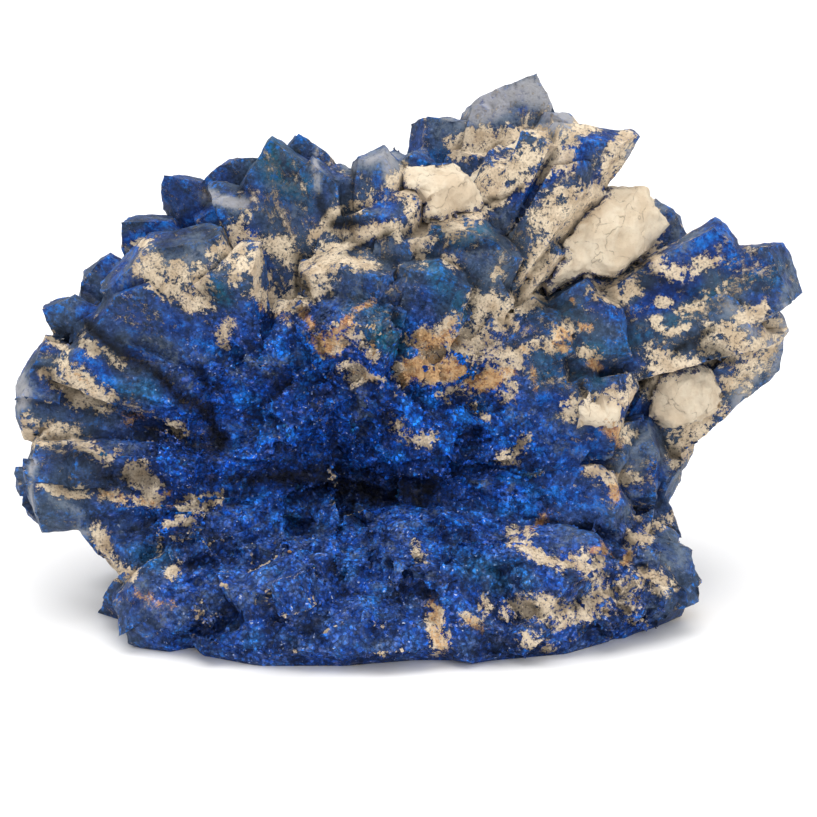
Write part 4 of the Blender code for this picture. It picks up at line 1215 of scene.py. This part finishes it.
@dataclass(frozen=True)
class ClayFinish:
    """Dry cream clay in crumbly chunks, with hairline cracks, painted shade in its hollows and
    crystal at its margins.
    """

    name: str = "dry_clay"
    cream: Colour = (0.96, 0.83, 0.64)
    tan: Colour = (0.84, 0.68, 0.49)
    crack_and_shade: Colour = (0.20, 0.13, 0.08)
    crystal: Colour = (0.012, 0.04, 0.15)
    grain: float = 7.5
    rough_tan: float = 0.7
    powder_dark: float = 0.25
    hairline_dark: float = 0.4
    hollow_dark: float = 0.6
    margin_cover: float = 0.9
    roughness: float = 0.95
    specular: float = 0.12
    bump: float = 0.8
    bump_depth: float = 0.16

    def build(
        self, grain_group: bpy.types.NodeTree, dirt_group: bpy.types.NodeTree
    ) -> bpy.types.Material:
        """Makes the material.

        Args:
            grain_group: The shared grain.
            dirt_group: The shared dirt.

        Returns:
            The material.
        """
        material, graph = new_material(self.name)
        place = graph.millimetres()
        grain = graph.use(grain_group, Place=place, Scale=self.grain)
        wide = graph.noise(place, 0.5, detail=5.0, roughness=0.6)
        rough = graph.noise(place, 2.2, detail=8.0, roughness=0.8)
        powder = graph.noise(place, 8.0, detail=3.0, roughness=0.7)
        chunk = graph.cells(graph.bent(place, 0.9, 1.6), 0.42, "DISTANCE_TO_EDGE")
        hairline = graph.rest(graph.step(chunk.outputs["Distance"], 0.002, 0.016))
        hairline = graph.times(hairline, graph.step(rough, 0.44, 0.54))
        hollow = graph.step(graph.layer(HOLLOW), 0.6, 1.0)
        thin = graph.plus(graph.layer(MARGIN), graph.swing(rough, 4.0))
        colour = graph.mix(graph.step(wide, 0.40, 0.66), self.cream, self.tan)
        for mask, amount, over in (
            (graph.step(rough, 0.48, 0.66), self.rough_tan, self.tan),
            (graph.step(powder, 0.6, 0.75), self.powder_dark, self.crack_and_shade),
            (hairline, self.hairline_dark, self.crack_and_shade),
            # Painted shade: the clay darkens in its hollows.
            (hollow, self.hollow_dark, self.crack_and_shade),
            (graph.step(thin, 0.75, 0.95), self.margin_cover, self.crystal),
        ):
            colour = graph.mix(graph.times(mask, amount), colour, over)
        dirt = graph.use(dirt_group, Colour=colour, Place=place, Iron=graph.painted(StainAndLight.IRON))
        shader = graph.add("ShaderNodeBsdfPrincipled")
        graph.put(dirt.outputs["Colour"], shader.inputs["Base Color"])
        shader.inputs["Roughness"].default_value = self.roughness
        shader.inputs["Specular IOR Level"].default_value = self.specular
        relief = graph.plus(graph.times(rough, 2.4), graph.times(powder, 0.5))
        relief = graph.minus(relief, graph.times(hairline, 0.9))
        relief = graph.plus(relief, graph.times(grain.outputs["Relief"], -0.2))
        graph.put(graph.bump(relief, self.bump, self.bump_depth), shader.inputs["Normal"])
        graph.put(shader.outputs[0], graph.add("ShaderNodeOutputMaterial").inputs[0])
        return material


def only(obj: bpy.types.Object) -> None:
    """Selects one object alone and makes it active.

    Args:
        obj: The object.
    """
    bpy.ops.object.select_all(action="DESELECT")
    obj.select_set(True)
    bpy.context.view_layer.objects.active = obj


def apply_modifier(obj: bpy.types.Object, kind: str, **settings: object) -> None:
    """Adds a modifier, sets its options and applies it.

    Args:
        obj: The object.
        kind: Blender's name for the modifier's type.
        **settings: The modifier's options.
    """
    modifier = obj.modifiers.new(kind.lower(), kind)
    for name, value in settings.items():
        setattr(modifier, name, value)
    only(obj)
    bpy.ops.object.modifier_apply(modifier=modifier.name)


def displace(
    piece: bpy.types.Object,
    texture: bpy.types.Texture,
    strength: float,
    middle: float,
    group: str = "",
) -> None:
    """Moves a piece's points in and out by a texture.

    Args:
        piece: The piece.
        texture: The texture.
        strength: How far its whole range reaches, in millimetres.
        middle: The value that leaves a point where it is.
        group: The vertex group that limits it, if any.
    """
    apply_modifier(
        piece,
        "DISPLACE",
        texture=texture,
        texture_coords="LOCAL",
        strength=strength * MM,
        mid_level=middle,
        vertex_group=group,
    )


def clouds(name: str, size: float) -> bpy.types.Texture:
    """Makes a soft noise for displace.

    Args:
        name: The texture's name.
        size: The size of a swell in millimetres.

    Returns:
        The texture.
    """
    texture = bpy.data.textures.new(name, "CLOUDS")
    texture.noise_scale = size * MM
    texture.noise_depth = 3
    return texture


def chunks(name: str, size: float) -> bpy.types.Texture:
    """Makes rounded chunks with clefts between them for displace.

    Args:
        name: The texture's name.
        size: The size of a chunk in millimetres.

    Returns:
        The texture.
    """
    texture = bpy.data.textures.new(name, "VORONOI")
    texture.noise_scale = size * MM
    texture.weight_1 = -1.0
    texture.weight_2 = 1.0
    texture.noise_intensity = 1.6
    return texture


def copy_node(node: str, name: str) -> bpy.types.Object:
    """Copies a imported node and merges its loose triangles.

    Args:
        node: The node's name.
        name: The new piece's name.

    Returns:
        The copy.
    """
    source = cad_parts[node]
    piece = bpy.data.objects.new(name, source.data.copy())
    piece.data.name = name
    piece.data.materials.clear()
    bpy.context.scene.collection.objects.link(piece)
    only(piece)
    bpy.ops.object.mode_set(mode="EDIT")
    bpy.ops.mesh.select_all(action="SELECT")
    bpy.ops.mesh.remove_doubles(threshold=MERGE)
    bpy.ops.object.mode_set(mode="OBJECT")
    return piece


def mesh_arrays(mesh: bpy.types.Mesh) -> tuple[np.ndarray, np.ndarray]:
    """Reads a mesh's points and their normals.

    Args:
        mesh: The mesh.

    Returns:
        Points and unit normals, one row each.
    """
    points = np.empty(len(mesh.vertices) * 3)
    mesh.vertices.foreach_get("co", points)
    normals = np.empty(len(mesh.vertices) * 3)
    mesh.vertex_normals.foreach_get("vector", normals)
    return points.reshape(-1, 3), normals.reshape(-1, 3)


def move_points(mesh: bpy.types.Mesh, points: np.ndarray) -> None:
    """Moves a mesh's points to new places."""
    mesh.vertices.foreach_set("co", points.ravel())
    mesh.update()


def store_values(mesh: bpy.types.Mesh, name: str, values: np.ndarray) -> None:
    """Keeps a value for each point of a mesh."""
    layer = mesh.attributes.new(name, "FLOAT", "POINT")
    layer.data.foreach_set("value", values.astype(np.float32))


def read_values(mesh: bpy.types.Mesh, name: str) -> np.ndarray:
    """Reads a value for each point of a mesh.

    Args:
        mesh: The mesh.
        name: The attribute's name.

    Returns:
        The values.
    """
    values = np.empty(len(mesh.vertices), dtype=np.float32)
    mesh.attributes[name].data.foreach_get("value", values)
    return values


def hollowness(mesh: bpy.types.Mesh, rounds: int) -> np.ndarray:
    """Measures how far each point lies in a hollow or stands on a ridge.

    Args:
        mesh: The mesh.
        rounds: How many times the mesh is evened out before it is compared with itself.

    Returns:
        Depths in millimetres, above zero in a hollow and below on a ridge.
    """
    points, normals = mesh_arrays(mesh)
    edges = np.empty(len(mesh.edges) * 2, dtype=np.int64)
    mesh.edges.foreach_get("vertices", edges)
    first, second = edges.reshape(-1, 2).T
    ends = np.concatenate([first, second])
    others = np.concatenate([second, first])
    count = np.bincount(ends, minlength=len(points))[:, None]
    even = points.copy()
    for _ in range(rounds):
        sums = [np.bincount(ends, even[others, axis], len(points)) for axis in range(3)]
        total = np.column_stack(sums)
        even = 0.4 * even + 0.6 * total / np.maximum(count, 1)
    return np.einsum("ij,ij->i", even - points, normals) / MM


def keep_hollows(piece: bpy.types.Object, rounds: int, gain: float) -> None:
    """Keeps each point's depth: 0.5 on a level face, more in a hollow and less on a ridge."""
    depth = hollowness(piece.data, rounds)
    store_values(piece.data, HOLLOW, np.clip(0.5 + depth * gain, 0.0, 1.0))


@dataclass
class Shell:
    """The rosette's skin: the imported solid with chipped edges, low rays and a swollen druse."""

    node: str = "azurite_rosette"
    name: str = "rosette_skin"
    depth: int = 8
    fill: float = 0.655
    wave: float = 0.26
    chip: float = 0.26
    swell: float = 0.6
    cluster: float = 0.45
    grit: float = 0.14
    ray: float = 0.55
    ray_cell: float = 1.0
    middle: float = 0.55
    floor_edge: Point = (0.05, 0.9)
    foot_height: Point = (5.0, 8.0)
    foot_side: Point = (13.5, 16.0)
    foot_back: Point = (3.0, 6.0)
    foot_share: float = 0.9
    heart: Point = (8.0, 13.0)
    heart_back: Point = (-1.0, 2.0)
    heart_squash: float = 0.8
    hollow_rounds: int = 10
    hollow_gain: float = 1.4
    smooth_angle: float = 45.0

    def druse_weight(self, points: np.ndarray) -> np.ndarray:
        """Says where the small crystals crowd: low down, and in the hollow middle.

        Args:
            points: Positions in metres.

        Returns:
            A value from 0 to 1 for each point.
        """
        across, along, height = points.T / MM
        low = 1.0 - ease(height, *self.foot_height)
        low = low * (1.0 - ease(np.abs(across), *self.foot_side))
        low = low * (1.0 - ease(along, *self.foot_back))
        local = points / MM - np.array(GROWTH_CENTRE)
        reach = np.hypot(local[:, 0] * self.heart_squash, local[:, 2])
        heart = 1.0 - ease(reach, *self.heart)
        return np.maximum(low * self.foot_share, heart * ease(-local[:, 1], *self.heart_back))

    def above_floor(self, points: np.ndarray) -> np.ndarray:
        """Says how clear of the floor each point is, so that the resting face stays flat."""
        return ease(points[:, 2] / MM, *self.floor_edge)

    def build(self, painter: Painter, material: bpy.types.Material) -> bpy.types.Object:
        """Makes the skin.

        Args:
            painter: Works out the stains.
            material: The crystal's finish.

        Returns:
            The piece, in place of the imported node.
        """
        piece = copy_node(self.node, self.name)
        apply_modifier(
            piece,
            "REMESH",
            mode="SHARP",
            octree_depth=self.depth,
            scale=self.fill,
            sharpness=1.0,
            use_remove_disconnected=True,
        )
        apply_modifier(piece, "SMOOTH", factor=0.25, iterations=1)
        self.raise_rays(piece)
        points, _ = mesh_arrays(piece.data)
        floor = self.above_floor(points)
        self.group(piece, "all", floor)
        self.group(piece, "druse", floor * self.druse_weight(points))
        for texture, strength, group in (
            (clouds("waves", 3.0), self.wave, "all"),
            (clouds("chips", 1.1), self.chip, "all"),
            (clouds("swells", 2.6), self.swell, "druse"),
            (chunks("clusters", 2.1), self.cluster, "druse"),
            (clouds("grit", 0.45), self.grit, "all"),
            (clouds("druse_grit", 0.5), self.grit * 1.8, "druse"),
        ):
            displace(piece, texture, strength, self.middle, group)
        apply_modifier(piece, "TRIANGULATE")
        self.hold_inside(piece)
        points, normals = mesh_arrays(piece.data)
        for stain, values in painter.paint_all(points, normals).items():
            store_values(piece.data, stain.value, values)
        keep_hollows(piece, self.hollow_rounds, self.hollow_gain)
        store_values(piece.data, DRUSY, self.druse_weight(points))
        piece.data.materials.append(material)
        only(piece)
        bpy.ops.object.shade_smooth_by_angle(angle=math.radians(self.smooth_angle))
        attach(piece, BODY)
        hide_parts(self.node)
        return piece

    def raise_rays(self, piece: bpy.types.Object) -> None:
        """Gives the blades low ribs that run out from the growth centre.

        Args:
            piece: The skin.
        """
        points, normals = mesh_arrays(piece.data)
        ribs = layered_noise(radial_place(points), self.ray_cell, 51, 2) - self.middle
        points += normals * (ribs * self.above_floor(points) * self.ray * MM)[:, None]
        move_points(piece.data, points)

    def group(self, piece: bpy.types.Object, name: str, weights: np.ndarray) -> None:
        """Adds a vertex group, with its weights in small steps.

        Args:
            piece: The skin.
            name: The group's name.
            weights: A weight from 0 to 1 for each point.
        """
        made = piece.vertex_groups.new(name=name)
        steps = np.round(weights * GROUP_STEPS).astype(int)
        for step in range(GROUP_STEPS + 1):
            chosen = np.nonzero(steps == step)[0].tolist()
            if chosen:
                made.add(chosen, step / GROUP_STEPS, "REPLACE")

    def hold_inside(self, piece: bpy.types.Object) -> None:
        """Keeps the skin above the plane that the specimen rests on.

        Args:
            piece: The skin.
        """
        points, _ = mesh_arrays(piece.data)
        points[:, 2] = np.maximum(points[:, 2], 0.0)
        move_points(piece.data, points)


@dataclass
class ClayBody:
    """One body of dry clay, swollen to meet the crystal round it and roughened."""

    node: str
    name: str
    voxel: float = 0.16
    grow: float = 0.25
    lumps: float = 0.8
    chunk: float = 0.5
    crumbs: float = 0.32
    grit: float = 0.14
    iron_share: float = 0.7
    hollow_rounds: int = 8
    hollow_gain: float = 2.0
    margin_reach: Point = (0.1, 1.0)
    smooth_angle: float = 60.0

    def build(
        self, painter: Painter, skin: bpy.types.Object, material: bpy.types.Material
    ) -> bpy.types.Object:
        """Makes the clay.

        Args:
            painter: Works out the stains.
            skin: The rosette's skin, which the clay meets.
            material: The clay's finish.

        Returns:
            The piece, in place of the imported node.
        """
        piece = copy_node(self.node, self.name)
        apply_modifier(piece, "REMESH", mode="VOXEL", voxel_size=self.voxel * MM)
        apply_modifier(piece, "SMOOTH", factor=0.5, iterations=1)
        apply_modifier(piece, "DISPLACE", strength=self.grow * MM, mid_level=0.0)
        for texture, strength, middle in (
            (clouds("lumps", 2.4), self.lumps, 0.5),
            (chunks("clay_chunks", 2.5), self.chunk, 0.8),
            (clouds("crumbs", 0.6), self.crumbs, 0.5),
            (clouds("clay_grit", 0.22), self.grit, 0.5),
        ):
            displace(piece, texture, strength, middle)
        apply_modifier(piece, "TRIANGULATE")
        points, normals = mesh_arrays(piece.data)
        iron = painter.paint_all(points, normals)[StainAndLight.IRON]
        store_values(piece.data, StainAndLight.IRON.value, self.iron_share * iron)
        keep_hollows(piece, self.hollow_rounds, self.hollow_gain)
        store_values(piece.data, MARGIN, self.margin(points, skin))
        piece.data.materials.append(material)
        only(piece)
        bpy.ops.object.shade_smooth_by_angle(angle=math.radians(self.smooth_angle))
        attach(piece, BODY)
        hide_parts(self.node)
        return piece

    def margin(self, points: np.ndarray, skin: bpy.types.Object) -> np.ndarray:
        """Says how near the clay is to the crystal that it thins out on.

        Args:
            points: The clay's points in metres.
            skin: The rosette's skin.

        Returns:
            A value for each point, 1 at the crystal and 0 well away from it.
        """
        places = [Vector(point) for point in points]
        gaps = np.array([skin.closest_point_on_mesh(place)[1] - place for place in places])
        return 1.0 - ease(np.linalg.norm(gaps, axis=1) / MM, *self.margin_reach)


@dataclass
class Seed:
    """One small crystal, modelled once: a stubby blade with a slanted roof."""

    name: str
    width: float
    depth: float
    height: float
    roof: float
    lean: float
    roof_depth: float = 0.75
    roof_height: float = 0.35

    def build(self) -> tuple[np.ndarray, np.ndarray]:
        """Models the crystal.

        Returns:
            Its points, with a height of about one, and its triangles.
        """
        bpy.ops.object.select_all(action="DESELECT")
        bpy.ops.mesh.primitive_cylinder_add(
            vertices=6, radius=0.5, depth=1.0, location=(0.0, 0.0, 0.5)
        )
        obj = bpy.context.object
        obj.name = self.name
        mesh = obj.data
        only(obj)
        bpy.ops.object.transform_apply(location=True)
        bpy.ops.object.mode_set(mode="EDIT")
        bpy.ops.mesh.select_all(action="SELECT")
        bpy.ops.transform.resize(
            value=(self.width, self.depth, self.height), center_override=(0.0, 0.0, 0.0)
        )
        bpy.ops.mesh.select_all(action="DESELECT")
        bpy.ops.object.mode_set(mode="OBJECT")
        for face in mesh.polygons:
            face.select = face.normal.z > 0.9
        bpy.ops.object.mode_set(mode="EDIT")
        rise = (self.lean, 0.0, self.roof_height * self.height)
        bpy.ops.mesh.extrude_region_move(TRANSFORM_OT_translate={"value": rise})
        bpy.ops.transform.resize(value=(self.roof, self.roof_depth, 1.0))
        bpy.ops.object.mode_set(mode="OBJECT")
        points, faces = self.in_order(mesh)
        bpy.data.objects.remove(obj)
        bpy.data.meshes.remove(mesh)
        return points, faces

    def in_order(self, mesh: bpy.types.Mesh) -> tuple[np.ndarray, np.ndarray]:
        """Lists the points and triangles in an order that is the same each run.

        Args:
            mesh: The crystal's mesh, whose faces are all convex.

        Returns:
            Its points, sorted by place, and its triangles.
        """
        points, _ = mesh_arrays(mesh)
        order = np.lexsort(np.round(points, 6).T)
        rank = np.argsort(order).tolist()
        triangles = []
        for face in mesh.polygons:
            ring = [rank[corner] for corner in face.vertices]
            start = ring.index(min(ring))
            ring = ring[start:] + ring[:start]
            triangles += [[ring[0], *pair] for pair in zip(ring[1:], ring[2:])]
        return points[order], np.array(sorted(triangles))


@dataclass
class Druse:
    """A crowd of small crystals that stands on the skin; its sizes are in millimetres."""

    name: str
    count: int
    smallest: float
    largest: float
    seed: int
    low: float
    high: float
    sunk: float = 0.5
    lean: float = 0.45
    patch: float = 3.0
    patch_edge: Point = (0.3, 0.6)
    shelter: Point = (0.30, 0.46)
    clear: float = 0.02

    def weight(self, skin: bpy.types.Object, shell: Shell) -> np.ndarray:
        """Says where on the skin the crystals stand: in patches, within its band and in hollows.

        Args:
            skin: The finished skin.
            shell: Says where small crystals crowd.

        Returns:
            A value from 0 to 1 for each point.
        """
        points, _ = mesh_arrays(skin.data)
        height = points[:, 2] / MM
        weight = shell.druse_weight(points)
        weight = weight * ease(height, self.low, self.low + 1.0)
        weight = weight * (1.0 - ease(height, self.high, self.high + 1.0))
        patchy = ease(layered_noise(points, self.patch, self.seed), *self.patch_edge)
        sheltered = ease(read_values(skin.data, HOLLOW), *self.shelter)
        return np.clip(weight * patchy * sheltered, 0.0, 1.0) * (points[:, 2] > 0.5 * MM)

    def build(
        self,
        skin: bpy.types.Object,
        shell: Shell,
        seeds: Sequence[Seed],
        material: bpy.types.Material,
    ) -> bpy.types.Object:
        """Scatters the crystals.

        Args:
            skin: The finished skin that carries them.
            shell: Says where small crystals crowd.
            seeds: The crystals that are repeated.
            material: The crystal's finish.

        Returns:
            The piece.
        """
        rng = np.random.default_rng(self.seed)
        points, normals = mesh_arrays(skin.data)
        weight = self.weight(skin, shell)
        chosen = rng.choice(len(points), size=self.count, replace=False, p=weight / weight.sum())
        modelled = [seed.build() for seed in seeds]
        places, triangles, origins = [], [], []
        offset = 0
        for index in chosen:
            base, faces = modelled[rng.integers(len(modelled))]
            size = (self.smallest + (self.largest - self.smallest) * rng.random() ** 2) * MM
            up = normals[index] + rng.normal(0.0, self.lean, 3)
            up /= np.linalg.norm(up)
            side = np.cross(up, rng.normal(0.0, 1.0, 3))
            side /= np.linalg.norm(side)
            axes = np.array([side, np.cross(up, side), up])
            placed = (base - np.array([0.0, 0.0, self.sunk])) * size @ axes + points[index]
            placed[:, 2] = np.maximum(placed[:, 2], self.clear * MM)
            places.append(placed)
            triangles.append(faces + offset)
            origins.append(np.full(len(base), index))
            offset += len(base)
        mesh = bpy.data.meshes.new(self.name)
        mesh.from_pydata(np.concatenate(places).tolist(), [], np.concatenate(triangles).tolist())
        piece = bpy.data.objects.new(self.name, mesh)
        bpy.context.scene.collection.objects.link(piece)
        self.take_stains(mesh, skin.data, np.concatenate(origins))
        mesh.materials.append(material)
        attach(piece, BODY)
        return piece

    def take_stains(
        self, mesh: bpy.types.Mesh, skin: bpy.types.Mesh, origins: np.ndarray
    ) -> None:
        """Gives each crystal the stains, painted shade, painted sheen and hollowness of the place
        that it stands on.

        Args:
            mesh: The crystals.
            skin: The skin's mesh.
            origins: For each point, the skin's point that its crystal stands on.
        """
        for stain in StainAndLight:
            store_values(mesh, stain.value, read_values(skin, stain.value)[origins])
        store_values(mesh, HOLLOW, (0.5 * read_values(skin, HOLLOW) + 0.2)[origins])
        store_values(mesh, DRUSY, read_values(skin, DRUSY)[origins])


@dataclass(frozen=True)
class Softbox:
    """One soft square light: its place and side in metres, and its power in watts."""

    name: str
    place: Place
    side: float
    power: float

    def build(self, lit_point: Place) -> None:
        """Hangs the light so that it faces a point.

        Args:
            lit_point: The point, in metres.
        """
        data = bpy.data.lights.new(self.name, "AREA")
        data.energy = self.power
        data.size = self.side
        light = bpy.data.objects.new(self.name, data)
        bpy.context.scene.collection.objects.link(light)
        light.location = self.place
        away = Vector(self.place) - Vector(lit_point)
        light.rotation_euler = away.to_track_quat("Z", "Y").to_euler()


@dataclass
class Studio:
    """The pale floor, the white surround and the soft lights."""

    floor_side: float = 3.0
    floor_colour: Colour = (0.97, 0.965, 0.96)
    floor_rough: float = 0.9
    floor_specular: float = 0.1
    fill: float = 0.70
    lit_point: Place = (0.0, 0.0, 0.012)
    lights: tuple[Softbox, ...] = (
        Softbox("top_softbox", (-0.03, 0.03, 0.45), 0.5, 2.0),
        Softbox("front_softbox", (0.15, -0.42, 0.32), 0.40, 0.8),
    )

    def build(self) -> None:
        """Makes the floor, the surround and the lights."""
        self.add_floor()
        self.add_surround()
        for light in self.lights:
            light.build(self.lit_point)

    def add_floor(self) -> None:
        """Lays the floor just under the specimen."""
        bpy.ops.object.select_all(action="DESELECT")
        bpy.ops.mesh.primitive_plane_add(size=self.floor_side, location=(0.0, 0.0, 0.0))
        floor = bpy.context.object
        floor.name = "floor"
        material = bpy.data.materials.new("floor_paper")
        material.use_nodes = True
        shader = material.node_tree.nodes["Principled BSDF"]
        shader.inputs["Base Color"].default_value = (*self.floor_colour, 1.0)
        shader.inputs["Roughness"].default_value = self.floor_rough
        shader.inputs["Specular IOR Level"].default_value = self.floor_specular
        floor.data.materials.append(material)

    def add_surround(self) -> None:
        """Gives the scene a white surround that lights it evenly."""
        world = bpy.data.worlds.new("studio")
        bpy.context.scene.world = world
        world.use_nodes = True
        graph = Graph(world.node_tree)
        background = world.node_tree.nodes["Background"]
        background.inputs["Color"].default_value = (1.0, 1.0, 1.0, 1.0)
        seen = graph.add("ShaderNodeLightPath").outputs["Is Camera Ray"]
        strength = graph.plus(self.fill, graph.times(seen, 1.0 - self.fill))
        graph.put(strength, background.inputs["Strength"])
        bpy.context.scene.view_settings.view_transform = "Standard"


SEEDS: tuple[Seed, ...] = (
    Seed("slanted_blade", 0.8, 0.46, 0.6, 0.45, 0.12),
    Seed("stubby_block", 0.72, 0.62, 0.55, 0.55, -0.08),
    Seed("thin_blade", 0.95, 0.34, 0.6, 0.6, 0.05),
)
DRUSES: tuple[Druse, ...] = (
    Druse("druse_foot", 6200, 0.14, 0.36, 101, 0.2, 7.0),
    Druse("druse_middle", 6200, 0.14, 0.38, 202, 7.0, 22.0),
)
CLAY_BODIES: tuple[ClayBody, ...] = (
    ClayBody("clay_fill_centre", "clay_centre", grow=0.7),
    ClayBody("clay_fill_right", "clay_right", grow=0.55),
    ClayBody("clay_fill_crest", "clay_crest", grow=0.4),
    ClayBody("clay_fill_lower_right", "clay_lower_right", grow=0.7),
    ClayBody("clay_lump_pale", "clay_pale", grow=0.7),
)


def triangle_count(piece: bpy.types.Object) -> int:
    """Counts a piece's triangles."""
    return sum(len(face.vertices) - 2 for face in piece.data.polygons)


def main() -> None:
    """Builds every piece in order and reports each one's triangles."""
    logging.basicConfig(level=logging.INFO, format="%(message)s")
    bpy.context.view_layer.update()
    painter = Painter()
    grain_group = GrainGroup().build()
    dirt_group = DirtGroup().build()
    crystal = AzuriteFinish().build(grain_group, dirt_group)
    clay = ClayFinish().build(grain_group, dirt_group)
    painter.view.add_camera()
    Studio().build()
    shell = Shell()
    skin = shell.build(painter, crystal)
    made = [skin]
    made += [body.build(painter, skin, clay) for body in CLAY_BODIES]
    made += [druse.build(skin, shell, SEEDS, crystal) for druse in DRUSES]
    for piece in made:
        LOG.info("%s: %d triangles", piece.name, triangle_count(piece))
    bpy.context.view_layer.update()


if __name__ == "__main__":
    main()
